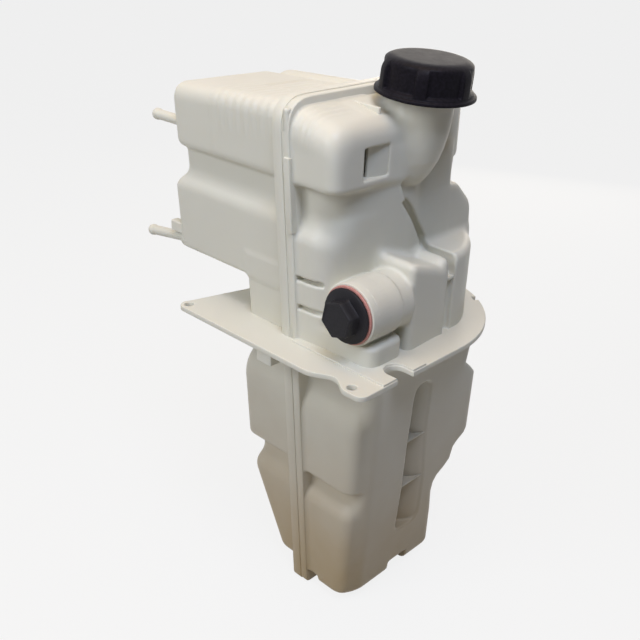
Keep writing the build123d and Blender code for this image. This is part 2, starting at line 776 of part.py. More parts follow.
# Rear half of the tank
upper_stub, upper_bore = stub(BLOCK_DEPTH, UPPER_STUB_HEIGHT, UPPER_STUB_LENGTH, 0)
lower_stub, lower_bore = stub(LOWER_BLOCK_DEPTH, LOWER_STUB_HEIGHT, LOWER_STUB_LENGTH, LOWER_STUB_DROOP)
with BuildPart() as rear_hollow:
    add(rear_form(WALL))
    add(rear_pockets(WALL), mode=Mode.SUBTRACT)
with BuildPart() as rear_shell:
    add(rear_form(0))
    add(rear_pockets(0), mode=Mode.SUBTRACT)
    split(bisect_by=across, keep=Keep.BOTTOM)
    add(flange(-FLANGE_REAR, 0))
    add(plate(Keep.BOTTOM))
    add(lip(-FLANGE_REAR))
    add([upper_stub, lower_stub])
    add(rear_hollow.part, mode=Mode.SUBTRACT)
    add([upper_bore, lower_bore], mode=Mode.SUBTRACT)
rear_shell.part.label = "rear_shell"
export_step(rear_shell.part, "parts/rear_shell.step")

# Front half of the tank, and the neck and sensor port let into it
rim = CAP_HEIGHT - CAP_TOP - INSERT_FLANGE - CAP_SEAL
neck_bore = NECK_RADIUS - WALL
port_depth = PORT_BLOCK_LEFT - PORT_FACE
boss_collar = BOSS_RADIUS + COLLAR_PROUD
thread_bore = PLUG_SHANK_RADIUS + RUNNING_GAP
neck_body = turned(
    neck_section,
    neck_axis,
    *funnel_outline(),
    (NECK_RADIUS, NECK_THREAD_FOOT),
    (NECK_THREAD_RADIUS, NECK_THREAD_FOOT),
    (NECK_THREAD_RADIUS, rim),
    (0, rim),
)
boss_body = turned(
    port_section,
    port_axis,
    (0, 0),
    (BOSS_RADIUS, 0),
    (BOSS_RADIUS, COLLAR_LENGTH - port_depth),
    (boss_collar, COLLAR_LENGTH - port_depth),
    (boss_collar, -port_depth),
    (BOSS_RADIUS, -port_depth - WALL),
    (0, -port_depth - WALL),
)
with BuildPart() as throat:
    with BuildSketch(along.offset(-NECK_SIDE)):
        with BuildLine():
            Polyline(*box(RIGHT_WALL_DEPTH - OVERLAP / 2, THROAT_REACH, THROAT_LOW, THROAT_HIGH), close=True)
        make_face()
    extrude(amount=THROAT_WIDTH / 2, both=True)
with BuildPart() as front_hollow:
    add(front_form(WALL) + keel_form(WALL))
    add(front_pockets(WALL), mode=Mode.SUBTRACT)
with BuildPart() as front_shell:
    add(front_form(0) + keel_form(0))
    add(front_pockets(0), mode=Mode.SUBTRACT)
    split(bisect_by=across, keep=Keep.TOP)
    add(flange(FLANGE_FRONT, FLANGE_STEP))
    add(plate(Keep.TOP))
    add(lip(FLANGE_FRONT))
    # Step along the plate, strip on the flange and fin behind the neck
    with BuildSketch(plan.offset(PLATE)):
        with Locations((FLANGE_FRONT, STEP_SIDE)):
            Rectangle(PLATE_RADIUS - FLANGE_FRONT, STEP_WIDTH, align=Align.MIN)
    extrude(amount=STEP_HEIGHT)
    with BuildSketch(across):
        with BuildLine():
            Polyline(
                (-edge(STRIP_LOW), STRIP_LOW),
                (-side(STRIP_LOW), STRIP_LOW),
                (-side(STRIP_HIGH), STRIP_HIGH),
                (-edge(STRIP_HIGH), STRIP_HIGH),
                close=True,
            )
        make_face()
    extrude(amount=FLANGE_FRONT)
    with BuildSketch(along.offset(-FIN_SIDE)):
        with BuildLine():
            Polyline(
                (0, TANK_TOP),
                (FLANGE_FRONT + FIN_LENGTH, TANK_TOP - SHOULDER_FALL + FIN_HEIGHT),
                (FLANGE_FRONT + FIN_LENGTH, TANK_TOP - 2 * SHOULDER_FALL),
                (0, TANK_TOP - 2 * SHOULDER_FALL),
                close=True,
            )
        make_face()
    extrude(amount=RIB)
    # Short slits beside the flange
    with BuildSketch(along.offset(side(SLITS[0]) - SLIT_DEPTH)):
        for height in SLITS:
            with Locations((FLANGE_FRONT, height)):
                Rectangle(SLIT_LENGTH, SLIT_HEIGHT, align=Align.MIN)
    extrude(amount=REACH, mode=Mode.SUBTRACT)
    # Room for the tank's inside, the neck and the sensor port
    add([front_hollow.part, neck_body, throat.part, boss_body], mode=Mode.SUBTRACT)
    # Thin webs across the gully and the slot
    add(bridge())
    with BuildSketch(along.offset(-SLOT_LEFT - SLOT_WIDTH)):
        for height in SLOT_WEBS:
            with Locations((keel_front(height) - SLOT_DEPTH - WALL / 2, height)):
                Rectangle(SLOT_DEPTH, RIB, align=(Align.MIN, Align.CENTER))
    extrude(amount=SLOT_WIDTH)
front_shell.part.label = "front_shell"
export_step(front_shell.part, "parts/front_shell.step")

# Filler neck let into the front half, with its throat into the tank
with BuildPart() as filler_neck:
    add(neck_body)
    add([front_hollow.part, throat.part], mode=Mode.SUBTRACT)
    with BuildSketch(neck.offset(THROAT_FOOT)):
        Circle(THROAT_RADIUS)
    extrude(amount=FUNNEL_TOP - THROAT_FOOT, mode=Mode.SUBTRACT)
    with BuildSketch(neck.offset(FUNNEL_TOP)):
        Circle(neck_bore)
    extrude(amount=rim - FUNNEL_TOP, mode=Mode.SUBTRACT)
filler_neck.part.label = "filler_neck"
export_step(filler_neck.part, "parts/filler_neck.step")

# Sensor port let into the front half, bored for the plug
with BuildPart() as port_boss:
    add(boss_body)
    add(front_hollow.part, mode=Mode.SUBTRACT)
    with BuildSketch(port):
        Circle(thread_bore)
    extrude(amount=-PLUG_SHANK - WALL, mode=Mode.SUBTRACT)
    with BuildSketch(port):
        Circle(PORT_WAY)
    extrude(amount=-port_depth - 2 * WALL, mode=Mode.SUBTRACT)
port_boss.part.label = "port_boss"
export_step(port_boss.part, "parts/port_boss.step")

# Screw cap with its grip bars
cap_bore = NECK_THREAD_RADIUS + CAP_CLEARANCE
cap_inside = CAP_HEIGHT - CAP_TOP
with BuildPart() as cap_body:
    with BuildSketch(neck_section) as section:
        with BuildLine():
            Polyline(
                (cap_bore, 0),
                (CAP_LIP_RADIUS, 0),
                (CAP_LIP_RADIUS, CAP_LIP),
                (CAP_RADIUS, CAP_LIP),
                (CAP_RADIUS, CAP_HEIGHT),
                (0, CAP_HEIGHT),
                (0, cap_inside),
                (cap_bore, cap_inside),
                close=True,
            )
        make_face()
        chamfer(section.vertices().sort_by_distance((CAP_RADIUS, CAP_HEIGHT))[0], CAP_EDGE)
    revolve(axis=neck_axis)
    with BuildSketch(neck.offset(CAP_PANEL_LOW)):
        Circle(CAP_LIP_RADIUS)
        Circle(CAP_RADIUS - CAP_PANEL_DEPTH, mode=Mode.SUBTRACT)
        with PolarLocations(CAP_RADIUS, CAP_BARS, start_angle=CAP_BAR_ANGLE):
            Rectangle(CAP_RADIUS, CAP_BAR_WIDTH, mode=Mode.SUBTRACT)
    extrude(amount=CAP_PANEL_HIGH - CAP_PANEL_LOW, mode=Mode.SUBTRACT)
cap_body.part.label = "cap_body"
export_step(cap_body.part, "parts/cap_body.step")

# Valve insert, its seals and the spring retainer clipped into it
insert_radius = neck_bore - INSERT_CLEARANCE
insert_bore = insert_radius - INSERT_WALL
insert_floor = INSERT_FOOT + INSERT_FLOOR
flange_radius = NECK_THREAD_RADIUS - CAP_CLEARANCE
flange_foot = cap_inside - INSERT_FLANGE
with BuildPart() as valve_insert:
    with BuildSketch(neck_section):
        with BuildLine():
            Polyline(
                (INSERT_HOLE, INSERT_FOOT),
                (insert_radius, INSERT_FOOT),
                (insert_radius, flange_foot),
                (flange_radius, flange_foot),
                (flange_radius, cap_inside),
                (insert_bore, cap_inside),
                (insert_bore, insert_floor),
                (INSERT_HOLE, insert_floor),
                close=True,
            )
        make_face()
    revolve(axis=neck_axis)
valve_insert.part.label = "valve_insert"
export_step(valve_insert.part, "parts/valve_insert.step")

with BuildPart() as cap_seal:
    with BuildSketch(neck.offset(rim)):
        Circle(flange_radius)
        Circle(insert_radius, mode=Mode.SUBTRACT)
    extrude(amount=CAP_SEAL)
cap_seal.part.label = "cap_seal"
export_step(cap_seal.part, "parts/cap_seal.step")

with BuildPart() as insert_ring:
    with BuildSketch(neck.offset(RING_HEIGHT)):
        Circle(neck_bore - RUNNING_GAP)
        Circle(insert_radius, mode=Mode.SUBTRACT)
    extrude(amount=RING)
insert_ring.part.label = "insert_ring"
export_step(insert_ring.part, "parts/insert_ring.step")

disc_top = insert_floor + PRESSURE_DISC_THICKNESS
spring_top = disc_top + PRESSURE_SPRING_HEIGHT
with BuildPart() as spring_retainer:
    with BuildSketch(neck.offset(spring_top)):
        Circle(insert_bore)
        Circle(RETAINER_HOLE, mode=Mode.SUBTRACT)
    extrude(amount=RETAINER)
spring_retainer.part.label = "spring_retainer"
export_step(spring_retainer.part, "parts/spring_retainer.step")

# Pressure valve, with the vacuum valve in its middle
with BuildPart() as pressure_valve:
    with BuildSketch(neck_section):
        with BuildLine():
            Polyline(
                (STEM_HOLE, insert_floor),
                (PRESSURE_DISC, insert_floor),
                (PRESSURE_DISC, disc_top),
                (STEM_HOLE, disc_top),
                close=True,
            )
        make_face()
    revolve(axis=neck_axis)
pressure_valve.part.label = "pressure_valve"
export_step(pressure_valve.part, "parts/pressure_valve.step")

collar_foot = disc_top + VACUUM_SPRING_HEIGHT
with BuildPart() as vacuum_valve:
    with BuildSketch(neck_section):
        with BuildLine():
            Polyline(
                (0, insert_floor - VACUUM_DISC_THICKNESS),
                (VACUUM_DISC, insert_floor - VACUUM_DISC_THICKNESS),
                (VACUUM_DISC, insert_floor),
                (STEM_RADIUS, insert_floor),
                (STEM_RADIUS, collar_foot),
                (COLLAR_RADIUS, collar_foot),
                (COLLAR_RADIUS, collar_foot + COLLAR),
                (0, collar_foot + COLLAR),
                close=True,
            )
        make_face()
    revolve(axis=neck_axis)
vacuum_valve.part.label = "vacuum_valve"
export_step(vacuum_valve.part, "parts/vacuum_valve.step")


def spring(foot, height, coil, wire, turns):
    """Open coil spring of bent wire that stands on a height of the neck's axis."""
    bends = turns * SPRING_BENDS
    rise = (height - 2 * wire) / bends
    start = neck.offset(foot + wire)
    turn = radians(360 / SPRING_BENDS)
    points = [(coil * cos(i * turn), coil * sin(i * turn), i * rise) for i in range(bends + 1)]
    with BuildPart() as body:
        with BuildLine() as path:
            Polyline(*[start.from_local_coords(point) for point in points])
        with BuildSketch(Plane(origin=path.line @ 0, z_dir=path.line % 0)):
            RegularPolygon(wire, 4)
        sweep(path=path.line, transition=Transition.RIGHT)
    return body.part


with BuildPart() as pressure_spring:
    add(spring(disc_top, PRESSURE_SPRING_HEIGHT, PRESSURE_COIL, PRESSURE_WIRE, PRESSURE_TURNS))
pressure_spring.part.label = "pressure_spring"
export_step(pressure_spring.part, "parts/pressure_spring.step")

with BuildPart() as vacuum_spring:
    add(spring(disc_top, VACUUM_SPRING_HEIGHT, VACUUM_COIL, VACUUM_WIRE, VACUUM_TURNS))
vacuum_spring.part.label = "vacuum_spring"
export_step(vacuum_spring.part, "parts/vacuum_spring.step")

# Plug of the sensor port, with its seal
with BuildPart() as plug_seal:
    with BuildSketch(port):
        Circle(PLUG_SEAL_RADIUS)
        Circle(thread_bore, mode=Mode.SUBTRACT)
    extrude(amount=PLUG_SEAL)
plug_seal.part.label = "plug_seal"
export_step(plug_seal.part, "parts/plug_seal.step")

with BuildPart() as port_plug:
    with BuildSketch(port_section):
        with BuildLine():
            Polyline(
                (PLUG_SHANK_RADIUS - PLUG_WALL, -PLUG_SHANK),
                (PLUG_SHANK_RADIUS, -PLUG_SHANK),
                (PLUG_SHANK_RADIUS, PLUG_SEAL),
                (PLUG_FLANGE_RADIUS, PLUG_SEAL),
                (PLUG_FLANGE_RADIUS, PLUG_SEAL + PLUG_FLANGE),
                (0, PLUG_SEAL + PLUG_FLANGE),
                (0, PLUG_SEAL),
                (PLUG_SHANK_RADIUS - PLUG_WALL, PLUG_SEAL),
                close=True,
            )
        make_face()
    revolve(axis=port_axis)
    with BuildSketch(port.offset(PLUG_SEAL + PLUG_FLANGE)):
        RegularPolygon(PLUG_HEX / 2, 6, major_radius=False)
    hexagon = extrude(amount=PLUG_HEX_HEIGHT)
    chamfer(hexagon.faces().sort_by(port_axis)[-1].edges(), PLUG_EDGE)
port_plug.part.label = "port_plug"
export_step(port_plug.part, "parts/port_plug.step")
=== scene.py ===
# %% [markdown]
# # Coolant expansion tank
# A heavy vehicle's expansion tank is two moulded halves of natural
# polypropylene, welded at an upright seam. It could be drawn as one block with
# bevels, but its charm is in soft lobes that melt into each other. So the halves
# are drawn here as implicit surfaces: every lobe is a distance, and lobes are
# joined with soft minima, which gives the fillets for free.

# %% Load the fixed frame
import json

import bmesh
import bpy
import numpy as np
from mathutils import Matrix, Vector

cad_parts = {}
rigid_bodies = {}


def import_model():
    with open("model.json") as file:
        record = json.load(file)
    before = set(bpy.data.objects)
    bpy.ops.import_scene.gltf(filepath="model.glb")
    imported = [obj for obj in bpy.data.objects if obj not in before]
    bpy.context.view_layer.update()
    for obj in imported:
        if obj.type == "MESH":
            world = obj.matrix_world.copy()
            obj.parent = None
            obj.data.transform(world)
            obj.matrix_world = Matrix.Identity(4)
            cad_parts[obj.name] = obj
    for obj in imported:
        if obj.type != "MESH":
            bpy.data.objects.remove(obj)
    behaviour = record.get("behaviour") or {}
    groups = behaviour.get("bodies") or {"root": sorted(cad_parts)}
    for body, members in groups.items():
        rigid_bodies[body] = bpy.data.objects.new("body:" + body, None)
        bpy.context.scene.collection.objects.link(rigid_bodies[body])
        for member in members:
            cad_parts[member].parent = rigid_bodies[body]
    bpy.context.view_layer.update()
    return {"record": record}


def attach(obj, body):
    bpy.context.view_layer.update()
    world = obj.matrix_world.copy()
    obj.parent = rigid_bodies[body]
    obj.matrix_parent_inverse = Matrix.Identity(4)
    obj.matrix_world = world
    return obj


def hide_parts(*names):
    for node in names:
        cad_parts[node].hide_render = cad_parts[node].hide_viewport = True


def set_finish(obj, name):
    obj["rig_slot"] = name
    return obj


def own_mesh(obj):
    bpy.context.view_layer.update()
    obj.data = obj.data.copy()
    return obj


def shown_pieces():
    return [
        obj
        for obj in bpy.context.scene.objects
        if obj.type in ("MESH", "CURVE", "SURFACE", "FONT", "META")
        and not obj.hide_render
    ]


for leftover in list(bpy.data.objects):
    bpy.data.objects.remove(leftover)
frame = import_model()

# %% [markdown]
# ## Places on the tank
# Sizes are in millimetres from the seam plane (x, ahead), the middle plane
# (u, to the right) and the plate's underside (z, up), because that is how the
# mould would be dimensioned. One function moves a point to the shared frame. The
# neck and the port stand where the frame's joints turn the cap and the plug.

# %% Shared places and sizes
MM = 0.001
SEAM = np.array([9.0, 127.5, 0.0])
joint_places = {joint["name"]: np.array(joint["pos_m"]) for joint in frame["record"]["behaviour"]["joints"]}
mount_sizes = {mount["name"]: mount["dims"] for mount in frame["record"]["mounts"]}
NECK = np.round(joint_places["cap_turn"] / MM, 3)
NECK_LEAN = np.radians(5.0)
NECK_AXIS = np.array([np.sin(NECK_LEAN), 0.0, np.cos(NECK_LEAN)])
PORT = np.round(joint_places["plug_turn"] / MM, 3)
PORT_AXIS = np.array([0.0, -1.0, 0.0])
NECK_X, NECK_U, NECK_Z = (NECK - SEAM).tolist()
PORT_X = float(PORT[0] - SEAM[0])
PORT_Z = float(PORT[2] - SEAM[2])
EDGE_HALF = 103.0
EDGE_LEAN = 0.075
WALL_INSET = 8.0
FRONT_INSET = 4.0


def edge_at(z):
    """The flange's edge leans: its half width grows by the lean for each mm of height."""
    return EDGE_HALF + EDGE_LEAN * z


def side_at(z):
    """The rear side walls stand an inset inside the flange's edge."""
    return edge_at(z) - WALL_INSET


def to_frame(places):
    """Millimetres from the seam, middle and plate become metres in the frame."""
    return (np.asarray(places, float) + SEAM) * MM


print("half width at the plate", edge_at(0.0), "mm, neck", NECK, "port", PORT)

# %% [markdown]
# ## Meshes from arrays
# A mesh is only points and faces. One function takes both as arrays, links the
# object at the origin and lets it ride on its body of the frame, so that each
# later cell is only about its shape.

# %% Mesh maker
def make_piece(name, points, faces, body, material_slot):
    """New object from points in metres and faces, smooth, on a body."""
    mesh = bpy.data.meshes.new(name)
    mesh.from_pydata(np.asarray(points).tolist(), [], [list(face) for face in faces])
    mesh.shade_smooth()
    piece = bpy.data.objects.new(name, mesh)
    bpy.context.scene.collection.objects.link(piece)
    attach(piece, body)
    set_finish(piece, material_slot)
    print(name, len(mesh.vertices), "points", len(mesh.polygons), "faces")
    return piece


def grid_faces(rows, columns):
    """Quads of a grid whose columns close on themselves, row by row."""
    row, column = np.meshgrid(np.arange(rows - 1), np.arange(columns), indexing="ij")
    following = (column + 1) % columns
    corners = [row * columns + column, row * columns + following]
    corners += [(row + 1) * columns + following, (row + 1) * columns + column]
    return np.stack(corners, -1).reshape(-1, 4)


def capped_faces(rows, columns):
    """Quads of a closed grid, with one face over its first row and one over its last."""
    faces = grid_faces(rows, columns).tolist()
    faces.append(list(range(columns))[::-1])
    faces.append(list(range((rows - 1) * columns, rows * columns)))
    return faces


print("a capped grid of 3 rows by 4 has", len(capped_faces(3, 4)), "faces")

# %% [markdown]
# ## Distances and soft joins
# An outline seen from one side is an intersection of half planes: the distance
# outside it is the largest distance outside any side. Taking a soft maximum
# instead rounds the corner, and a soft minimum of two bodies fills the crease
# between them, like the radius that a mould needs for the plastic to flow. The
# ease, in millimetres, is the last argument everywhere. A field that grows too
# fast, as a leaning face's does, is multiplied by a share a little under 1.

# %% Soft joins
def soft_max(a, b, ease):
    """The larger of two fields, lifted by h*h/4e where they differ less than e."""
    near = np.maximum(ease - np.abs(a - b), 0.0)
    return np.maximum(a, b) + near * near / (4.0 * ease)


def soft_min(a, b, ease):
    """The smaller of two fields, with the crease filled over a width of ease."""
    return -soft_max(-a, -b, ease)


def turning(ring):
    """1 for an outline that runs anticlockwise, else -1: the sign of its area."""
    following = np.roll(ring, -1, axis=0)
    return np.sign(np.sum(ring[:, 0] * following[:, 1] - ring[:, 1] * following[:, 0]))


def outline(a, b, corners, ease):
    """Distance outside a convex outline in two coordinates, an ease for each side."""
    corners = np.array(corners, float)
    eases = np.broadcast_to(ease, len(corners))
    run = np.roll(corners, -1, axis=0) - corners
    outwards = turning(corners) * np.stack([run[:, 1], -run[:, 0]], 1)
    normals = outwards / np.linalg.norm(run, axis=1)[:, None]
    field = None
    for corner, normal, corner_ease in zip(corners, normals, eases):
        distance = (a - corner[0]) * normal[0] + (b - corner[1]) * normal[1]
        field = distance if field is None else soft_max(field, distance, corner_ease)
    return field


def box(left, right, low, high):
    """Rectangular outline, corner by corner."""
    return [(left, low), (right, low), (right, high), (left, high)]


def bevelled(depth, z, shoulder, run, rise, ease):
    """Face at depth 0 that runs in above a shoulder height, run by rise."""
    bevel = (depth * rise + (z - shoulder) * run) / np.hypot(run, rise)
    return soft_max(depth, bevel, ease)


def between(z, low, high, low_ease, high_ease, body):
    """Body cut off level at a foot and at a top, each edge with its own ease."""
    return soft_max(soft_max(body, low - z, low_ease), z - high, high_ease)


def ramp(value, start, end):
    """Smooth step from 0 to 1 between two values."""
    share = np.clip((value - start) / (end - start), 0.0, 1.0)
    return share * share * (3.0 - 2.0 * share)


print("two equal fields, eased over 2 mm, rise by", soft_max(0.0, 0.0, 2.0), "mm")

# %% [markdown]
# ## Rear half
# Behind the seam stand an upper and a lower block with a groove between them, a
# narrower waist through the plate, and two lobes below it. The upper block's
# side carries shallow rib lines, and its top a sunken panel. They are moulded
# marks of a millimetre or less, so they are added to the field as a small
# displacement and not as separate bodies. Depths are counted from the seam,
# heights from the plate's underside.

# %% Sizes of the rear half
UPPER_BACK = 159.0
UPPER_FOOT = 151.0
UPPER_FALL = 0.038  # drop of the block's top for each mm behind the seam
GROOVE_DEPTH = 8.0
GROOVE_BACK = 154.0
LOWER_BACK = 166.0
LOWER_FOOT = 45.0
LOWER_SHOULDER = 114.0
LOWER_TOP = 131.0
WAIST_BACK = 66.0
STEM_BACK = 71.0
STEM_INSET = 10.0
BELLY_BACK = 82.0
BELLY_SHOULDER = -57.0
BELLY_FOOT = -146.0
LOBE_BACK = 78.0
LOBE_RIGHT = 54.0
LOBE_SHOULDER = -178.0
LOBE_FOOT = -279.0
LOBE_SLANT = (-97.0, -38.0)  # direction square to the lobe's sloping back, in x and z
LOBE_SLANT_LENGTH = 104.2
VALLEY_RIGHT = 18.0
VALLEY_UP = 219.0
VALLEY_RADIUS = 16.0
RIB_SPACING = 10.5
RIB_HEIGHT = 0.7
STEP_HEIGHT = 0.5
# The keel's right edge as (height, distance from the middle): two scallops and a bulge.
RIGHT_LOW = ((-300, 62), (-281, 61), (-234, 55), (-207, 50), (-194, 51), (-186, 56), (-180, 66), (-173, 74))
RIGHT_HIGH = ((-158, 76), (-152, 82), (-146, 92), (-140, 94), (-66, 84), (-58, 76), (-48, 64), (0, 66))
KEEL_RIGHT_AT = RIGHT_LOW + RIGHT_HIGH


def follow(z, stations):
    """Value that runs straight from station to station along the height."""
    heights, values = np.array(stations, float).T
    return np.interp(z, heights, values)


print("keel's right edge at the plate", follow(0.0, KEEL_RIGHT_AT), "mm from the middle")

# %% Rear half as a field
def rear_blocks(x, u, z):
    """Soft union of the upper block, the core in the groove and the lower block."""
    side = np.abs(u) - side_at(z)
    across_top = [(-side_at(94), 94), (side_at(94), 94), (side_at(190), 190)]
    across_top += [(40, 215), (-side_at(218), 218)]
    upper = outline(u, z - UPPER_FALL * np.minimum(x, 0.0), across_top, (4.0, 4.0, 9.0, 9.0, 17.0))
    upper = soft_max(soft_max(upper, -UPPER_BACK - x, 13.0), UPPER_FOOT - z, 8.0)
    core = soft_max(side + GROOVE_DEPTH, -GROOVE_BACK - x, 8.0)
    core = between(z, 80.0, 190.0, 4.0, 4.0, core)
    lower = bevelled(side, z, LOWER_SHOULDER, 8.0, 11.0, 3.5)
    lower = soft_max(lower, bevelled(-LOWER_BACK - x, z, LOWER_SHOULDER, 12.0, 12.0, 4.0), 7.0)
    lower = between(z, LOWER_FOOT, LOWER_TOP, 4.0, 4.0, lower)
    return soft_min(soft_min(upper, core, 5.0), lower, 4.5)


def rear_stem(x, u, z):
    """Waist through the plate and the narrow stem below it, each with its ease."""
    side = np.abs(u) - side_at(z)
    waist = between(z, -10.0, 70.0, 4.0, 4.0, soft_max(side, -WAIST_BACK - x, 7.0))
    right_edge = (u - follow(z, KEEL_RIGHT_AT) + STEM_INSET) * 0.85
    stem = soft_max(side + STEM_INSET, right_edge, 6.0)
    stem = between(z, -200.0, 40.0, 4.0, 4.0, soft_max(stem, -STEM_BACK - x, 8.0))
    return (waist, 4.0), (stem, 4.0)


def rear_lobes(x, u, z):
    """Belly and lowest lobe, both bevelled above a shoulder, each with its ease."""
    side = np.abs(u) - side_at(z)
    belly = bevelled(side, z, BELLY_SHOULDER, 14.0, 35.0, 6.0)
    belly = soft_max(belly, bevelled(-BELLY_BACK - x, z, BELLY_SHOULDER, 16.0, 35.0, 6.0), 9.0)
    belly = between(z, BELLY_FOOT, -10.0, 6.0, 4.0, belly)
    lobe = bevelled(-u - side_at(z), z, LOBE_SHOULDER, 14.0, 16.0, 6.0)
    lobe = soft_max(lobe, u - LOBE_RIGHT, 8.0)
    slant = (x + LOBE_BACK) * LOBE_SLANT[0] + (z - LOBE_SHOULDER) * LOBE_SLANT[1]
    slant = slant / LOBE_SLANT_LENGTH
    lobe = soft_max(lobe, bevelled(slant, z, LOBE_SHOULDER, 14.0, 16.0, 6.0), 9.0)
    lobe = between(z, LOBE_FOOT, -150.0, 8.0, 4.0, lobe)
    return (belly, 6.0), (lobe, 6.0)


def rear_field(x, u, z):
    """Soft union of all lobes, less the top's valley, with the moulded marks added."""
    field = rear_blocks(x, u, z)
    for lobe, ease in (*rear_stem(x, u, z), *rear_lobes(x, u, z)):
        field = soft_min(field, lobe, ease)
    valley = VALLEY_RADIUS - np.sqrt((u - VALLEY_RIGHT) ** 2 + (z - VALLEY_UP) ** 2)
    field = soft_max(field, valley, 4.0)
    ribs = ramp(x, -98, -90) * ramp(-x, 4, 10) * ramp(z, 168, 196) * ramp(-u, -10, 30)
    field = field - RIB_HEIGHT / 2 * ribs * (1.0 - np.cos((x + 6.0) * 2.0 * np.pi / RIB_SPACING))
    field = field - STEP_HEIGHT * ramp(x, -101, -99) * ramp(z, 152, 160) * ramp(-u, 60, 90)
    panel = ramp(x, -84, -81) * ramp(-x, 27, 30) * ramp(u, -62, -59) * ramp(-u, 4, 7)
    return field + panel * ramp(z, 195, 205)


print("inside the upper block the field is", round(float(rear_field(-80.0, 0.0, 180.0)), 1), "mm")

# %% [markdown]
# ## Front half
# Ahead of the seam the mould is busier: a rounded shoulder with a square window,
# a wall that steps out over the lower lobe, the block that carries the sensor
# port, a gully that winds down between them, and a long keel with a slot and two
# scallops. The filler neck's funnel melts into the wall. What changes with the
# height is a short list of stations, (height, value), that are joined by lines.

# %% Sizes of the front half
FAR = 60.0  # well behind the seam, where the net ends
TOP_UP = 217.0
TOP_RUN = 51.0
TOP_DROP = 12.0
TOP_SLOPE = 52.4
SHOULDER_AHEAD = 57.0
SHOULDER_FOOT = 152.0
RIGHT_AHEAD = 47.0
RIGHT_WALL_AHEAD = 50.0
RIGHT_SIDE = 94.0
RIGHT_SIDE_LEAN = 0.09
RIGHT_LOWER_AHEAD = 50.4
RIGHT_LOWER_SHOULDER = 106.0
RIGHT_LOWER_TOP = 130.0
LEFT_WALL_AHEAD = 51.0
LEFT_WALL_SIDE = 90.2
LEFT_WALL_LEAN = 0.06
LEFT_LOWER_AHEAD = 46.0
LEFT_LOWER_SHOULDER = 107.0
LEFT_LOWER_TOP = 123.0
BANK_INSET = 6.0
PEDESTAL_AHEAD = 93.0
BOSS_RADIUS = 28.0
COLLAR_RADIUS = 26.6
KEEL_AHEAD = 84.0
KEEL_TOP = -75.0
KEEL_FALL = 22.0
KEEL_RUN = 215.0
KEEL_FOOT = -290.0
FRONT_BELLY_SHOULDER = -68.0
FRONT_BELLY_FOOT = -147.0
FRONT_LOBE_SHOULDER = -178.0
FRONT_LOBE_TOP = -150.0
NECK_TOP = 232.0
PORT_WAY_RADIUS = 16.0
PORT_MOUTH_RADIUS = 20.8
FUNNEL = ((-80, 2), (-77, 7), (-72, 12), (-66, 16), (-56, 20.5), (-45, 23.5))
FUNNEL += ((-30, 25.8), (-14, 26.5), (40, 26.5))
NECK_WAY = ((-64, -4), (-60, 10), (-45, 15), (-20, 20), (-14, 21.5), (60, 21.5))
GULLY_LEFT = ((0, 8), (60, 8.5), (75, 9), (88, 7), (100, -1), (113, -10), (132, -25), (150, -34))
GULLY_WIDTH = ((0, 12), (62, 12), (80, 13), (113, 13), (132, 12))
GULLY_FLOOR = ((5, 82), (60, 82), (66, 64), (78, 42), (92, 40.5), (113, 43.5), (132, 47))
SLOT_LEFT = ((-240, -11), (-225, -11), (-169, -13), (-115, -18), (-42, -22))
SLOT_RIGHT = ((-240, 28), (-172, 22), (-110, 10), (-42, 4))
GULLY_MIDDLE = 67.5
GULLY_HALF = 63.5
SLOT_MIDDLE = -137.0
SLOT_HALF = 95.0
SLOT_DEPTH = 23.0
WINDOW = box(-78, -47, 160, 187)
WINDOW_FLOOR = 25.0
CHANNEL = box(-11, 18, -320, -275)
FOOT_AHEAD = 22.0
FOOT_GAP_TOP = -280.0
SLIT_MIDDLE = (22.0, 53.0)
SLIT_HALF = (13.5, 2.2)
SLIT_APART = 14.0
MARK_SPACING = 6.5
MARK_HEIGHT = 0.8


def keel_front(z):
    """The keel's front face leans: below its top it falls back, by the fall over the run."""
    return KEEL_AHEAD - (KEEL_TOP - z) * KEEL_FALL / KEEL_RUN


def front_side(u, z):
    """Distance outside the front half's left wall, an inset inside the flange's edge."""
    return -u - edge_at(z) + FRONT_INSET


print("keel's foot stands", round(keel_front(KEEL_FOOT), 1), "mm ahead of the seam")

# %% [markdown]
# Above the plate there are three groups: the left side with its shoulder, wall
# and lower lobe, the right side, and what stands out in front. The left side
# ends at the gully, so its bank is one more plane that cuts wall and lobe alike.

# %% Walls above the plate
def front_top(x, z):
    """Level top at the seam that slopes down ahead of it, by the drop over the run."""
    sloped = ((z - TOP_UP) * TOP_RUN + (x - 6.0) * TOP_DROP) / TOP_SLOPE
    return soft_max(z - TOP_UP, sloped, 5.0)


def front_left(x, u, z):
    """Soft union of the shoulder, the left wall and the lower lobe."""
    shoulder = soft_max(front_side(u, z), front_top(x, z), 25.0)
    shoulder = soft_max(shoulder, x - SHOULDER_AHEAD, 15.0)
    shoulder = soft_max(soft_max(shoulder, u + 6.0, 5.0), SHOULDER_FOOT - z, 6.0)
    bank = (u - follow(z, GULLY_LEFT) - BANK_INSET) * 0.8
    ahead = LEFT_WALL_AHEAD + 5.0 * ramp(z, 60.0, 158.0) + 0.16 * np.minimum(u + 26.0, 16.0)
    wall = soft_max(-u - LEFT_WALL_SIDE - z * LEFT_WALL_LEAN, (x - ahead) * 0.98, 30.0)
    wall = between(z, -20.0, 180.0, 7.0, 7.0, soft_max(wall, bank, 3.0))
    lower = bevelled(front_side(u, z), z, LEFT_LOWER_SHOULDER, 14.0, 15.0, 5.0)
    lower = soft_max(lower, x - LEFT_LOWER_AHEAD, 28.0)
    lower = between(z, -10.0, LEFT_LOWER_TOP, 4.0, 6.0, soft_max(lower, bank, 3.0))
    return soft_min(soft_min(shoulder, wall, 7.0), lower, 8.0)


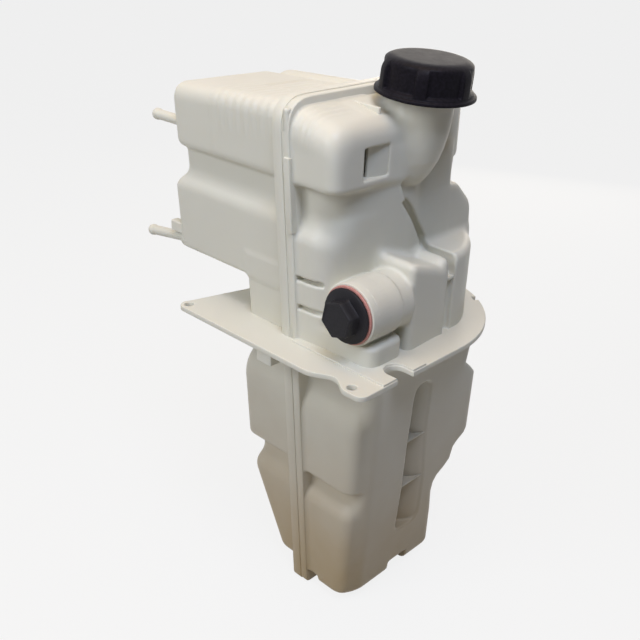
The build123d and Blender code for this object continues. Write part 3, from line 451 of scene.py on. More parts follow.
def front_right(x, u, z):
    """Soft union of the right shoulder, the wall below it and the lower lobe."""
    seen_ahead = [(-60, 94), (side_at(94), 94), (side_at(190), 190), (40, 214), (-60, 217)]
    seen_above = [(-FAR, -200), (RIGHT_AHEAD, -200), (RIGHT_AHEAD, 62), (8, 114), (-FAR, 114)]
    shoulder = soft_max(outline(u, z, seen_ahead, 7.0), outline(x, u, seen_above, 8.0), 8.0)
    shoulder = soft_max(soft_max(shoulder, front_top(x, z), 6.0), SHOULDER_FOOT - z, 6.0)
    wall = outline(u, z, [(-40, -20), (62, -20), (57, 174), (-40, 174)], 7.0)
    wall = soft_max(wall, x - RIGHT_WALL_AHEAD, 10.0)
    side = u - RIGHT_SIDE - (RIGHT_LOWER_SHOULDER - z) * RIGHT_SIDE_LEAN
    lower = bevelled(side, z, RIGHT_LOWER_SHOULDER, 24.0, 26.0, 5.0)
    lower = soft_max(soft_max(lower, x - RIGHT_LOWER_AHEAD, 12.0), 10.0 - u, 8.0)
    lower = between(z, -10.0, RIGHT_LOWER_TOP, 4.0, 6.0, lower)
    return soft_min(soft_min(shoulder, wall, 3.0), lower, 2.0)


print("60 mm ahead, the left side is", round(float(front_left(60.0, -30.0, 100.0)), 1), "mm away")

# %% [markdown]
# The neck's funnel is a reach round the leaning axis less a radius that narrows
# downwards. The port's block and the block beside it are each a plan outline
# crossed with a front outline, and the round boss is a reach round the port.

# %% Neck, port and blocks
def neck_funnel(x, u, z):
    """Reach from the neck's leaning line, less the funnel's radius at that height."""
    fall = NECK_Z - z
    reach = np.sqrt((x - NECK_X + np.sin(NECK_LEAN) * fall) ** 2 + (u - NECK_U) ** 2)
    return soft_max((reach - follow(-fall, FUNNEL)) * 0.9, z - NECK_TOP, 0.5)


def port_blocks(x, u, z):
    """Soft union of the port's block and the block to its right, plan crossed with front."""
    port_block = soft_max(
        outline(x, u, [(-FAR, -45), (91, -45), (88, 20), (-FAR, 20)], 8.0),
        outline(u, z, [(-60, -10), (40, -10), (40, 60), (-60, 94)], 8.0),
        9.0,
    )
    middle_block = soft_max(
        outline(x, u, [(-FAR, 0), (88, 0), (87, 42), (80, 56), (66, 76), (40, 95), (-FAR, 95)], 8.0),
        outline(u, z, box(-20, 115, -10, 80), 8.0),
        8.0,
    )
    return soft_min(port_block, middle_block, 4.0)


def port_pedestal(x, u, z):
    """Low foot under the port, a rounded plan between two levels."""
    plan = outline(x, u, box(-FAR, PEDESTAL_AHEAD, -98, -52), 14.0)
    return soft_max(plan, between(z, -5.0, 25.0, 5.0, 5.0, -FAR), 5.0)


def port_reach(x, z):
    """Distance from the port's axis."""
    return np.sqrt((x - PORT_X) ** 2 + (z - PORT_Z) ** 2)


def port_bosses(x, u, z):
    """Round boss with a slightly thinner collar on its inner side."""
    boss = soft_max(port_reach(x, z) - BOSS_RADIUS, np.maximum(-94.0 - u, u + 61.0), 1.0)
    collar = soft_max(port_reach(x, z) - COLLAR_RADIUS, np.maximum(-66.0 - u, u + 44.0), 1.5)
    return soft_min(boss, collar, 0.8)


def upper_front(x, u, z):
    """Soft union of walls, funnel, blocks, pedestal and bosses above the plate."""
    field = soft_min(front_left(x, u, z), front_right(x, u, z), 3.0)
    field = soft_min(field, neck_funnel(x, u, z), 11.0)
    field = soft_min(field, port_blocks(x, u, z), 8.0)
    field = soft_min(field, port_pedestal(x, u, z), 4.0)
    return soft_min(field, port_bosses(x, u, z), 3.0)


print("40 mm down, the funnel is", round(2.0 * float(follow(-40.0, FUNNEL)), 1), "mm wide")

# %% [markdown]
# Below the plate a keel leans back towards its foot, with a belly and a lobe on
# its left. Then come the hollows. A pocket is a field of its own, and turning
# its sign before the soft maximum cuts it out with an eased rim.

# %% Keel and hollows
def lower_front(x, u, z):
    """Soft union of the keel, the belly and the left lobe below the plate."""
    right_edge = (u - follow(z, KEEL_RIGHT_AT)) * 0.85
    ahead = (x - keel_front(z)) * 0.99
    keel = soft_max(soft_max(right_edge, ahead, 10.0), front_side(u, z) + 12.0, 16.0)
    keel = between(z, KEEL_FOOT, 2.0, 9.0, 4.0, keel)
    belly = bevelled(front_side(u, z), z, FRONT_BELLY_SHOULDER, 14.0, 26.0, 5.0)
    belly = soft_max(soft_max(belly, ahead + 4.0, 16.0), u, 8.0)
    belly = between(z, FRONT_BELLY_FOOT, -10.0, 4.0, 4.0, belly)
    lobe = bevelled(front_side(u, z), z, FRONT_LOBE_SHOULDER, 12.0, 15.0, 4.0)
    lobe = soft_max(soft_max(lobe, ahead + 4.0, 16.0), u, 8.0)
    lobe = between(z, KEEL_FOOT, FRONT_LOBE_TOP, 9.0, 4.0, lobe)
    return soft_min(soft_min(keel, belly, 4.0), lobe, 4.0)


def gully_and_slot(x, u, z):
    """The winding gully, and the keel's slot whose floor rises to its right edge."""
    left = follow(z, GULLY_LEFT)
    depth = soft_max(follow(z, GULLY_FLOOR) - x, np.abs(z - GULLY_MIDDLE) - GULLY_HALF, 2.0)
    gully = soft_max(left - u, u - left - follow(z, GULLY_WIDTH), 2.0)
    gully = soft_max(gully, depth, 3.0)
    slot_left = follow(z, SLOT_LEFT)
    slot_right = follow(z, SLOT_RIGHT)
    share = np.clip((u - slot_left - 4.0) / (slot_right - slot_left - 4.0), 0.0, 1.0)
    slot_floor = keel_front(z) - SLOT_DEPTH * (1.0 - share) ** 1.7 - 1.5
    slot = soft_max(slot_left - u, u - slot_right, 2.0)
    slot = soft_max(slot, np.abs(z - SLOT_MIDDLE) - SLOT_HALF, 14.0)
    slot = soft_max(slot, (slot_floor - x) * 0.8, 2.0)
    return np.minimum(gully, slot)


def front_pockets(x, u, z):
    """Distance outside the nearest of gully, slot, window, foot channel, foot gap and slits."""
    window = soft_max(outline(u, z, WINDOW, 1.5), WINDOW_FLOOR - x, 1.5)
    channel = soft_max(outline(u, z, CHANNEL, 4.0), FOOT_AHEAD - x, 3.0)
    foot_gap = soft_max(z - FOOT_GAP_TOP, x - FOOT_AHEAD, 3.0)
    slits = soft_max(np.abs(x - SLIT_MIDDLE[0]) - SLIT_HALF[0], u + 96.0, 1.0)
    slit_height = np.abs(np.abs(z - SLIT_MIDDLE[1]) - SLIT_APART) - SLIT_HALF[1]
    slits = soft_max(slit_height, slits, 1.5)
    field = np.minimum(gully_and_slot(x, u, z), np.minimum(window, channel))
    return np.minimum(np.minimum(field, foot_gap), slits)


def front_bores(x, u, z):
    """Distance outside the filler neck's way and the sensor port's way."""
    rise = (x - NECK_X) * NECK_AXIS[0] + (z - NECK_Z) * NECK_AXIS[2]
    aside = (x - NECK_X) * NECK_AXIS[2] - (z - NECK_Z) * NECK_AXIS[0]
    neck_way = (np.sqrt(aside**2 + (u - NECK_U) ** 2) - follow(rise, NECK_WAY)) * 0.9
    port_way = port_reach(x, z) - np.where(u < -75.0, PORT_MOUTH_RADIUS, PORT_WAY_RADIUS)
    return np.minimum(neck_way, np.maximum(port_way, u + 40.0))


def front_field(x, u, z):
    """Soft union of upper and lower front with a root along the seam, less pockets and bores."""
    field = soft_min(upper_front(x, u, z), lower_front(x, u, z), 3.0)
    root = soft_max(np.maximum(1.5 - u - edge_at(z), u + 30.0), x - 7.0, 2.0)
    field = soft_min(field, between(z, -288.0, 216.0, 2.0, 2.0, root), 7.0)
    marks = ramp(x, 9, 11) * ramp(-x, -34, -30) * ramp(z, 178, 196) * ramp(-u, 62, 76)
    field = field - MARK_HEIGHT / 2 * marks * (1.0 - np.cos((x - 3.0) * 2.0 * np.pi / MARK_SPACING))
    field = soft_max(field, -front_pockets(x, u, z), 1.5)
    return soft_max(field, -front_bores(x, u, z), 0.5)


print("inside the keel the field is", round(float(front_field(40.0, 40.0, -120.0)), 1), "mm")

# %% [markdown]
# ## From a field to a mesh
# Blender could voxelise and smooth a rough block, but that melts every edge
# alike. A surface net keeps the radii of the field: one point in each cell that
# the zero level crosses, one quad across each crossed edge. The points are then
# pulled onto the level with Newton steps, which makes the skin really smooth.

# %% Surface net
FINE = 2.0
FINER = 1.7
SEAM_CUT = 2.0
RELAX_ROUNDS = 4
NUDGE = 0.05
LEAST_SLOPE = 0.2


def surface_net(values):
    """Mean of the edge crossings in each crossed cell, in grid steps, and quads facing outwards."""
    inside = values < 0
    shape = np.array(values.shape) - 1
    corners = [(i, j, k) for i in (0, 1) for j in (0, 1) for k in (0, 1)]
    count = np.zeros(shape, np.int8)
    for i, j, k in corners:
        count += inside[i : i + shape[0], j : j + shape[1], k : k + shape[2]]
    cells = np.argwhere((count > 0) & (count < 8))
    number = np.full(shape, -1, np.int64)
    number[tuple(cells.T)] = np.arange(len(cells))
    total, crossings = np.zeros((len(cells), 3)), np.zeros((len(cells), 1))
    for axis in range(3):
        step = np.eye(3, dtype=int)[axis]
        for corner in [c for c in corners if c[axis] == 0]:
            start = cells + corner
            first, second = values[tuple(start.T)], values[tuple((start + step).T)]
            crossed = (first < 0) != (second < 0)
            share = np.where(crossed, first / np.where(crossed, first - second, 1.0), 0.0)
            total += np.where(crossed[:, None], corner + share[:, None] * step, 0.0)
            crossings += crossed[:, None]
    quads = []
    for axis in range(3):
        b, c = (axis + 1) % 3, (axis + 2) % 3
        step = np.eye(3, dtype=int)
        low = tuple(slice(0, -1) if n == axis else slice(1, -1) for n in range(3))
        high = tuple(slice(1, None) if n == axis else slice(1, -1) for n in range(3))
        here = inside[low]
        edges = np.argwhere(here != inside[high])
        outward = here[tuple(edges.T)]
        edges = edges + step[b] + step[c]
        ring = [edges - step[b] - step[c], edges - step[c], edges, edges - step[b]]
        quad = np.stack([number[tuple(r.T)] for r in ring], 1)
        quads.append(np.where(outward[:, None], quad, quad[:, ::-1]))
    return cells + total / crossings, np.concatenate(quads)


def pull_to_level(field, places, longest):
    """One Newton step along the gradient, no longer than a share of a cell."""
    value = field(*places.T)
    slope = np.stack([(field(*(places + NUDGE * axis).T) - value) / NUDGE for axis in np.eye(3)], 1)
    move = value[:, None] * slope / np.maximum(np.sum(slope**2, 1), LEAST_SLOPE)[:, None]
    return places - np.clip(move, -longest, longest)


def neighbour_mean(places, quads):
    """Mean place of the points that share an edge with each point, and their count."""
    total, count = np.zeros_like(places), np.zeros(len(places))
    for a, b in ((0, 1), (1, 2), (2, 3), (3, 0)):
        for here, there in ((quads[:, a], quads[:, b]), (quads[:, b], quads[:, a])):
            for axis in range(3):
                total[:, axis] += np.bincount(here, places[there, axis], len(places))
            count += np.bincount(here, minlength=len(places))
    return total / np.maximum(count, 1)[:, None], count


def skin(name, field, low, high, step, seam):
    """Closed skin of a half: net, relax, pull to the level, and a flat seam face."""
    axes = [np.arange(a, b + step, step) for a, b in zip(low, high)]
    x, u, z = np.ix_(*axes)
    values = field(x.astype(np.float32), u.astype(np.float32), z.astype(np.float32))
    places, quads = surface_net(values)
    places = places * step + np.array([axis[0] for axis in axes])
    used = np.unique(quads)
    places, quads = places[used], np.searchsorted(used, quads)
    at_seam = np.abs(places[:, 0] - seam) < 1.01 * step
    for _ in range(RELAX_ROUNDS):
        mean, count = neighbour_mean(places, quads)
        relaxed = places + 0.5 * (mean - places)
        places = pull_to_level(field, np.where(at_seam[:, None], places, relaxed), 0.5 * step)
    # Each quad counts two neighbours for each of its points, so a rim point has fewer than 8.
    places[at_seam & (count < 8), 0] = seam
    piece = make_piece(name, to_frame(places), quads, "tank", "tank")
    shell = bmesh.new()
    shell.from_mesh(piece.data)
    rim = [edge for edge in shell.edges if edge.is_boundary]
    bmesh.ops.holes_fill(shell, edges=rim, sides=0)
    bmesh.ops.recalc_face_normals(shell, faces=shell.faces)
    left_open = sum(edge.is_boundary for edge in shell.edges)
    shell.to_mesh(piece.data)
    shell.free()
    print(name, "closed over", len(rim), "edges, open", left_open)
    return piece


rear_skin = skin("rear_skin", rear_field, (-172, -114, -284), (-SEAM_CUT, 114, 226), FINE, -SEAM_CUT)
front_skin = skin("front_skin", front_field, (SEAM_CUT, -123, -298), (106, 118, 236), FINER, SEAM_CUT)
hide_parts("rear_shell")
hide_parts("front_shell", "filler_neck", "port_boss")

# %% [markdown]
# ## Turned pieces
# The neck, the sensor port's mouth, the hose stubs and the seal are round. A
# Spin would do, but carrying a half section round an axis as one array keeps
# every ring where the drawing has it.

# %% Turned shapes
def turned_points(section, origin, axis, columns):
    """Rings of a half section (radius, height) carried round an axis."""
    section = np.array(section, float)
    axis = np.array(axis, float)
    first = np.cross(axis, [0.0, 1.0, 0.0] if abs(axis[1]) < 0.9 else [1.0, 0.0, 0.0])
    first /= np.linalg.norm(first)
    second = np.cross(axis, first)
    angle = np.linspace(0, 2 * np.pi, columns, endpoint=False)
    spoke = np.cos(angle)[:, None] * first + np.sin(angle)[:, None] * second
    points = section[:, None, :1] * spoke[None] + section[:, None, 1:] * axis
    return (points.reshape(-1, 3) + origin) * MM


def turned(name, section, origin, axis, body, material_slot, columns=96):
    """Closed turned piece: the section's last point joins its first."""
    section = np.vstack([section, section[:1]])
    points = turned_points(section, origin, axis, columns)
    faces = grid_faces(len(section), columns)
    last = (len(section) - 1) * columns
    faces = np.where(faces >= last, faces - last, faces)
    return make_piece(name, points[:last], faces, body, material_slot)


def side_runs(corners):
    """Steps from each corner to the one before and the one after it, and their lengths."""
    before = np.roll(corners, 1, axis=0) - corners
    after = np.roll(corners, -1, axis=0) - corners
    return before, after, np.linalg.norm(before, axis=1), np.linalg.norm(after, axis=1)


def corner_arcs(corners, reach, steps):
    """Each corner as a quadratic arc between the points at a reach along its sides."""
    before, after, before_length, after_length = side_runs(corners)
    start = corners + before * (reach / before_length)[:, None]
    end = corners + after * (reach / after_length)[:, None]
    share = np.linspace(0, 1, steps)[None, :, None]
    arc = (1 - share) ** 2 * start[:, None] + 2 * share * (1 - share) * corners[:, None]
    return (arc + share**2 * end[:, None]).reshape(-1, 2)


def softened(corners, radius, steps=4):
    """A closed section whose corners are arcs that start a radius away, or less on short sides."""
    corners = np.array(corners, float)
    before_length, after_length = side_runs(corners)[2:]
    return corner_arcs(corners, np.minimum(radius, 0.45 * np.minimum(before_length, after_length)), steps)


neck_section = [(22, -10), (26.5, -10), (26.5, 1), (29.3, 1), (29.3, 22), (22, 22)]
turned("filler_neck", softened(neck_section, 0.8), NECK, NECK_AXIS, "tank", "tank")
mouth_section = [(20.3, -24), (28, -24), (28, 0), (20.3, 0)]
turned("port_mouth", softened(mouth_section, 0.9), PORT, PORT_AXIS, "tank", "tank")

# %% [markdown]
# ## Flat pieces with rounded edges
# The seam flange, the mounting plate and small webs are all a flat outline with
# a softened edge. A bevelled curve could do it, but here the outline is carried
# through a few levels, each set in a little, and closed with one face at each
# end. That keeps the faces few and the edge radius exact.

# %% Levels of an outline
def rounded_outline(corners, radii, steps=7):
    """Closed outline whose corners are quadratic arcs, one radius a corner."""
    corners = np.array(corners, float)
    before, after, before_length, after_length = side_runs(corners)
    cosine = np.clip(np.sum(before * after, 1) / (before_length * after_length), -0.99, 0.99)
    reach = np.array(radii, float) / np.sqrt((1 - cosine) / (1 + cosine))
    reach = np.minimum(reach, 0.48 * np.minimum(before_length, after_length))
    return corner_arcs(corners, reach, steps)


def set_in(ring, amount):
    """Outline moved inwards along the mean normal of its two neighbours."""
    tangent = np.roll(ring, -1, axis=0) - np.roll(ring, 1, axis=0)
    normal = np.stack([tangent[:, 1], -tangent[:, 0]], 1)
    length = np.maximum(np.linalg.norm(normal, axis=1), 1e-9)[:, None]
    return ring - turning(ring) * normal / length * amount


def levels_piece(name, ring, levels, place, body="tank", material_slot="tank"):
    """Outline through levels of (set-in, height), closed at both ends."""
    rings = np.array([place(set_in(ring, amount), height) for amount, height in levels])
    faces = capped_faces(len(levels), len(ring))
    if turning(ring) < 0:
        faces = [face[::-1] for face in faces]
    piece = make_piece(name, to_frame(rings.reshape(-1, 3)), faces, body, material_slot)
    piece.data.set_sharp_from_angle(angle=np.radians(40))
    return piece


def across(ring, x):
    """Outline in (u, z), at a distance ahead of the seam."""
    return np.column_stack([np.full(len(ring), x), ring[:, 0], ring[:, 1]])


def flat(ring, z):
    """Outline in (x, u), at a height."""
    return np.column_stack([ring[:, 0], ring[:, 1], np.full(len(ring), z)])


def along(ring, u):
    """Outline in (x, z), at a distance from the middle plane, mirrored to face out."""
    return np.column_stack([ring[:, 0], np.full(len(ring), -u), ring[:, 1]])


print("a rounded square has", len(rounded_outline(box(0, 9, 0, 9), 2.0)), "points")

# %% [markdown]
# ## Seam flange
# The halves are welded face to face along a flange. Its rear half is thicker
# and stands a little further out, so the weld shows as a fine step all round.
# Its lower right edge follows the keel's scallops, and a raised strip lies on
# its left edge.

# %% Seam flange
FLANGE_TOP = 224.0
FLANGE_FOOT = -298.0
SCALLOP_RIM = 3.0
SCALLOP_RADIUS = 4.0
STRIP_TOP = 176.0
STRIP_FOOT = 109.0
scallop_edge = [(right + SCALLOP_RIM, height) for height, right in KEEL_RIGHT_AT[1:10]]
flange_corners = [(-edge_at(FLANGE_TOP), FLANGE_TOP), (-edge_at(FLANGE_FOOT), FLANGE_FOOT)]
flange_corners += [(54, FLANGE_FOOT)]
flange_corners += scallop_edge + [(edge_at(-143), -143), (edge_at(190), 190), (40, FLANGE_TOP)]
flange_radii = [26, 8, 8] + [SCALLOP_RADIUS] * len(scallop_edge) + [5, 14, 10]
flange_ring = rounded_outline(flange_corners, flange_radii)
levels_piece(
    "rear_flange",
    flange_ring,
    [(1.1, -11.0), (0.4, -10.8), (0.0, -10.2), (0.0, -0.4), (0.2, 0.0)],
    across,
)
levels_piece(
    "front_flange",
    flange_ring,
    [(0.9, -0.2), (0.7, 0.2), (0.7, 7.6), (1.1, 8.2), (1.8, 8.5)],
    across,
)
strip_corners = [(-edge_at(STRIP_TOP) - 0.9, STRIP_TOP), (-edge_at(STRIP_TOP) + 6, STRIP_TOP)]
strip_corners += [(-edge_at(STRIP_FOOT) + 6, STRIP_FOOT), (-edge_at(STRIP_FOOT) - 0.9, STRIP_FOOT)]
strip_ring = rounded_outline(strip_corners, 1.0, 4)
levels_piece("flange_strip", strip_ring, [(0.6, 2.6), (0.0, 3.1), (0.0, 8.4), (0.6, 9.0)], across)

# %% [markdown]
# ## Mounting plate
# The plate is one flat outline with two bolt holes, a hose notch, a tab notch
# and a shallow cut between the bolts. A filled two-dimensional curve takes the
# holes as extra loops, and its bevel softens every edge alike, as the mould
# does. It becomes a mesh at once. A step and a lip finish it.

# %% Mounting plate
def arc_points(centre, radius, start, end, count):
    """Points round a circle between two angles in degrees."""
    angle = np.radians(np.linspace(start, end, count))
    return (np.array(centre) + radius * np.column_stack([np.cos(angle), np.sin(angle)])).tolist()


def filled_curve(name, loops, half_thickness, bevel, height):
    """Flat curve with loops filled between outline and holes, as a mesh in place."""
    curve = bpy.data.curves.new(name, "CURVE")
    curve.dimensions, curve.fill_mode = "2D", "BOTH"
    curve.extrude = (half_thickness - bevel) * MM
    curve.bevel_depth = bevel * MM
    curve.bevel_resolution = 2
    curve.offset = -bevel * MM
    for loop in loops:
        spline = curve.splines.new("POLY")
        spline.points.add(len(loop) - 1)
        level = np.zeros(len(loop))
        places = to_frame(np.column_stack([np.array(loop), level]))
        spline.points.foreach_set("co", np.column_stack([places[:, :2], level, level + 1.0]).ravel())
        spline.use_cyclic_u = True
    drawn = bpy.data.objects.new(name + "_line", curve)
    bpy.context.scene.collection.objects.link(drawn)
    bpy.context.view_layer.update()
    graph = bpy.context.evaluated_depsgraph_get()
    mesh = bpy.data.meshes.new_from_object(drawn.evaluated_get(graph))
    bpy.data.objects.remove(drawn)
    mesh.transform(Matrix.Translation((0, 0, height * MM)))
    mesh.name = name
    mesh.shade_smooth()
    mesh.set_sharp_from_angle(angle=np.radians(50))
    piece = bpy.data.objects.new(name, mesh)
    bpy.context.scene.collection.objects.link(piece)
    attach(piece, "tank")
    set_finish(piece, "tank")
    print(name, len(mesh.vertices), "points")
    return piece


PLATE_RADIUS = 118.0
PLATE_HALF = 2.5
PLATE_BEVEL = 0.7
CORNER_RADIUS = 8.5
NOTCH_CENTRE = (107.5, -80.0)
NOTCH_RADIUS = 10.5
TAB_ANGLE = 57.0
TAB_HALF = 4.0
TAB_DEPTH = 5.0
CUT_START = 48.0
CUT_LENGTH = 51.0
CUT_DEPTH = 10.0
BOLT_HALF_SPACING = mount_sizes["mounting_holes"]["spacing_x_mm"] / 2
BOLT_RADIUS = mount_sizes["mounting_holes"]["hole_r_mm"]
STEP_AHEAD = 117.2
near_edge = -SEAM[1] - CORNER_RADIUS
left_bolt = (-BOLT_HALF_SPACING - SEAM[0], -SEAM[1])
right_bolt = (BOLT_HALF_SPACING - SEAM[0], -SEAM[1])
right_corner = (PLATE_RADIUS - CORNER_RADIUS, -SEAM[1])
tab = np.radians(TAB_ANGLE)
tab_ahead = (PLATE_RADIUS - TAB_DEPTH) * np.array([np.cos(tab), np.sin(tab)])
tab_aside = TAB_HALF * np.array([-np.sin(tab), np.cos(tab)])
tab_turn = np.degrees(TAB_HALF / PLATE_RADIUS)
plate_line = arc_points(left_bolt, CORNER_RADIUS, 145, 270, 14)
cut_along = np.linspace(0.0, 1.0, 25)
cut_in = near_edge + CUT_DEPTH * np.sin(np.pi * cut_along**1.25) ** 2
plate_line += np.column_stack([CUT_START + CUT_LENGTH * cut_along, cut_in]).tolist()
plate_line += arc_points(right_corner, CORNER_RADIUS, 270, 360, 10)
plate_line += [(PLATE_RADIUS, NOTCH_CENTRE[1] - NOTCH_RADIUS)]
plate_line += arc_points(NOTCH_CENTRE, NOTCH_RADIUS, 270, 90, 21)
plate_line += [(PLATE_RADIUS, NOTCH_CENTRE[1] + NOTCH_RADIUS)]
plate_line += arc_points((0, 0), PLATE_RADIUS, 0, TAB_ANGLE - tab_turn, 40)
plate_line += [tuple(tab_ahead - tab_aside), tuple(tab_ahead + tab_aside)]
plate_line += arc_points((0, 0), PLATE_RADIUS, TAB_ANGLE + tab_turn, 206, 100)
bolt_holes = [arc_points(bolt, BOLT_RADIUS, 360, 0, 33)[:-1] for bolt in (left_bolt, right_bolt)]
filled_curve("mounting_plate", [plate_line] + bolt_holes, PLATE_HALF, PLATE_BEVEL, PLATE_HALF)
slab_ring = [(7, -108), (STEP_AHEAD, -108), (STEP_AHEAD, -91)]
slab_ring += arc_points(NOTCH_CENTRE, NOTCH_RADIUS + 0.7, 270, 90, 15)
slab_ring = np.array(slab_ring + [(STEP_AHEAD, -69), (STEP_AHEAD, -52), (7, -52)])
levels_piece("plate_step", slab_ring, [(0.0, 4.0), (0.0, 6.3), (0.4, 6.8)], flat)
lip_ring = rounded_outline([(-11, -134.5), (8, -134.5), (8, -90), (-11, -90)], 1.2, 4)
levels_piece("seam_lip", lip_ring, [(1.0, -11.0), (0.2, -10.7), (0.0, -10.0), (0.0, 1.0)], flat)

# %% [markdown]
# ## Webs and the fin
# Thin webs stiffen the long hollows: two across the keel's slot and one across
# the gully. A slanted tongue stands in the shoulder's window, and a fin between
# the flange and the neck. All are outlines carried through a few levels.

# %% Webs and fin
def web(name, left, right, rear, front, height, thickness):
    """Thin level web with rounded edges."""
    ring = rounded_outline([(rear, left), (front, left), (front, right), (rear, right)], 0.4, 3)
    low = height - thickness / 2
    high = height + thickness / 2
    return levels_piece(name, ring, [(0.5, low), (0.0, low + 0.5), (0.0, high - 0.5), (0.5, high)], flat)


for number, height in enumerate((-110.0, -170.0), 1):
    web("slot_web_%d" % number, -20, 20, keel_front(height) - 22, keel_front(height) - 1.0, height, 1.8)
web("gully_web", 5, 23, 74, 86.8, 58.0, 3.0)
tongue_ring = rounded_outline([(48, -67), (50.5, -67), (56, -44), (52, -44)], 0.4, 3)
levels_piece("window_tongue", tongue_ring, [(0.5, 157.0), (0.0, 157.5), (0.0, 189.5), (0.5, 190.0)], flat)
fin_ring = rounded_outline([(0, 216), (44, 214), (44, 196), (0, 196)], 1.0, 4)
levels_piece("neck_fin", fin_ring, [(0.6, 46.0), (0.0, 46.6), (0.0, 48.4), (0.6, 49.0)], along)

# %% [markdown]
# ## Hose stubs
# Two pipes leave the rear face: one level, one drooping eight degrees. Each is a
# turned tube with a soft bead at its mouth that keeps the hose on. A small rest
# beside them carries the hose.

# %% Hose stubs
STUB_ASIDE = 37.5


def stub(name, rear, height, length, droop):
    """Turned hose stub with a root fillet, a bead and a bore."""
    fall = np.radians(droop)
    section = [(3.0, length), (4.4, length), (5.3, length - 0.6), (5.7, length - 1.9), (5.7, length - 4.0)]
    section += [(5.5, length - 5.6), (5.1, length - 6.8), (5.0, length - 8)]
    section += [(5.0, 6), (5.2, 3.5), (5.9, 1.2), (7.5, 0.0), (9.0, -1.0), (9.0, -10.0), (3.0, -10.0)]
    origin = np.array([SEAM[0] - rear, STUB_ASIDE, height])
    return turned(name, section[::-1], origin, (-np.cos(fall), 0.0, -np.sin(fall)), "tank", "tank", 48)


stub("vent_stub", UPPER_BACK, 170, 50, 0)
stub("return_stub", LOWER_BACK, 52, 62, 8)
rest_ring = rounded_outline([(-181, -99), (-160, -99), (-160, -90), (-181, -90)], 1.5, 4)
levels_piece("hose_rest", rest_ring, [(1.0, 58.0), (0.0, 59.0), (0.0, 68.0), (1.0, 69.0)], flat)

# %% [markdown]
# ## Screw cap
# The cap is a grid of angle by height. The radius follows the turned outline,
# and between the six grip bars it steps in by the depth of the panels, with a
# soft shoulder, so that the highlights run round every bar.

# %% Screw cap
GRIP_BARS = 6
FIRST_BAR = -58.6
PANEL_RADIUS = 37.4


def cap_grid():
    """Radius by height from the outline, less the panel depth between the bars."""
    bars = np.arange(GRIP_BARS) * 60.0 + FIRST_BAR
    offsets = np.array([0, 3, 5, 6.2, 7.0, 7.6, 8.2, 8.8, 9.6, 11, 15, 20, 25, 30])
    offsets = np.concatenate([-offsets[:0:-1], offsets[:-1]])
    angle = np.radians((bars[:, None] + offsets[None]).ravel())
    from_bar = np.abs(np.tile(offsets, GRIP_BARS))
    outer = [(40.5, 0.0), (42.8, 0.0), (43.4, 0.4), (43.5, 1.2), (43.4, 2.4), (42.8, 3.0)]
    outer += [(41.6, 3.2), (41.0, 3.6), (40.8, 4.4), (40.8, 5.0), (40.8, 5.6), (40.8, 6.2)]
    outer += [(40.8, 6.9), (40.8, 8.0), (40.8, 12.0), (40.7, 17.0), (40.6, 19.5), (40.2, 21.8)]
    outer += [(39.5, 23.8), (38.6, 25.4), (37.6, 26.7), (36.9, 27.4), (36.2, 28.0), (35.2, 28.7)]
    outer += [(33.6, 29.5), (31.6, 30.1), (29.0, 30.45), (26.0, 30.5), (12.0, 30.5)]
    inner = [(12.0, 27.0), (29.4, 27.0), (30.0, 26.4), (30.0, 1.0), (30.8, 0.0)]
    outer, inner = np.array(outer), np.array(inner)
    panel = soft_min(outer[:, 0], PANEL_RADIUS, 1.2)
    sunk = (outer[:, 0] - panel) * ramp(outer[:, 1], 4.8, 6.4)
    radius = outer[:, :1] - sunk[:, None] * ramp(from_bar, 6.4, 9.0)[None]
    radius = np.concatenate([np.repeat(inner[:, :1], len(angle), 1), radius])
    height = np.concatenate([inner[:, 1], outer[:, 1]])
    return angle, radius, height


def place_on_axis(angle, radius, height, origin, axis):
    """Polar grid carried to an axis, angles counted from the frame's X."""
    axis = np.array(axis, float)
    first = np.array([1.0, 0.0, 0.0]) - axis * axis[0]
    first /= np.linalg.norm(first)
    second = np.cross(axis, first)
    spoke = np.cos(angle)[:, None] * first + np.sin(angle)[:, None] * second
    points = radius[:, :, None] * spoke[None] + height[:, None, None] * axis
    return (points.reshape(-1, 3) + origin) * MM


def closed_grid(name, angle, radius, height, origin, axis, body, material_slot, sharp):
    """Grid round an axis with its first and last rows filled."""
    points = place_on_axis(angle, radius, height, origin, axis)
    piece = make_piece(name, points, capped_faces(*radius.shape), body, material_slot)
    piece.data.set_sharp_from_angle(angle=np.radians(sharp))
    return piece


screw_cap = closed_grid("screw_cap", *cap_grid(), NECK, NECK_AXIS, "cap", "cap", 60)
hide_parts("cap_body")

# %% [markdown]
# ## Plug and seal of the sensor port
# The plug is a hexagon on a round flange. One grid holds both: its lower rows are
# circles, its upper rows shares of a hexagon with softened corners. The salmon
# seal under it is a plain turned ring.

# %% Plug and seal
HEXAGON_FLAT = 15.2
HEXAGON_TURN = np.radians(18.0)
CORNER_SHARE = 1.135


def hexagon_radius(angle, flat_distance, corner_ease):
    """Flat distance over the cosine from each flat's middle, softly capped at the corners."""
    sides = flat_distance / np.cos(np.mod(angle, np.pi / 3) - np.pi / 6)
    return soft_min(sides, flat_distance * CORNER_SHARE, corner_ease)


from_corner = np.array([0, 1.2, 2.6, 4.5, 8, 15, 30, 45, 52, 55.5, 57.4, 58.8])
turns = np.radians((np.arange(6)[:, None] * 60 + from_corner).ravel())
hexagon = hexagon_radius(turns, HEXAGON_FLAT, 0.8)
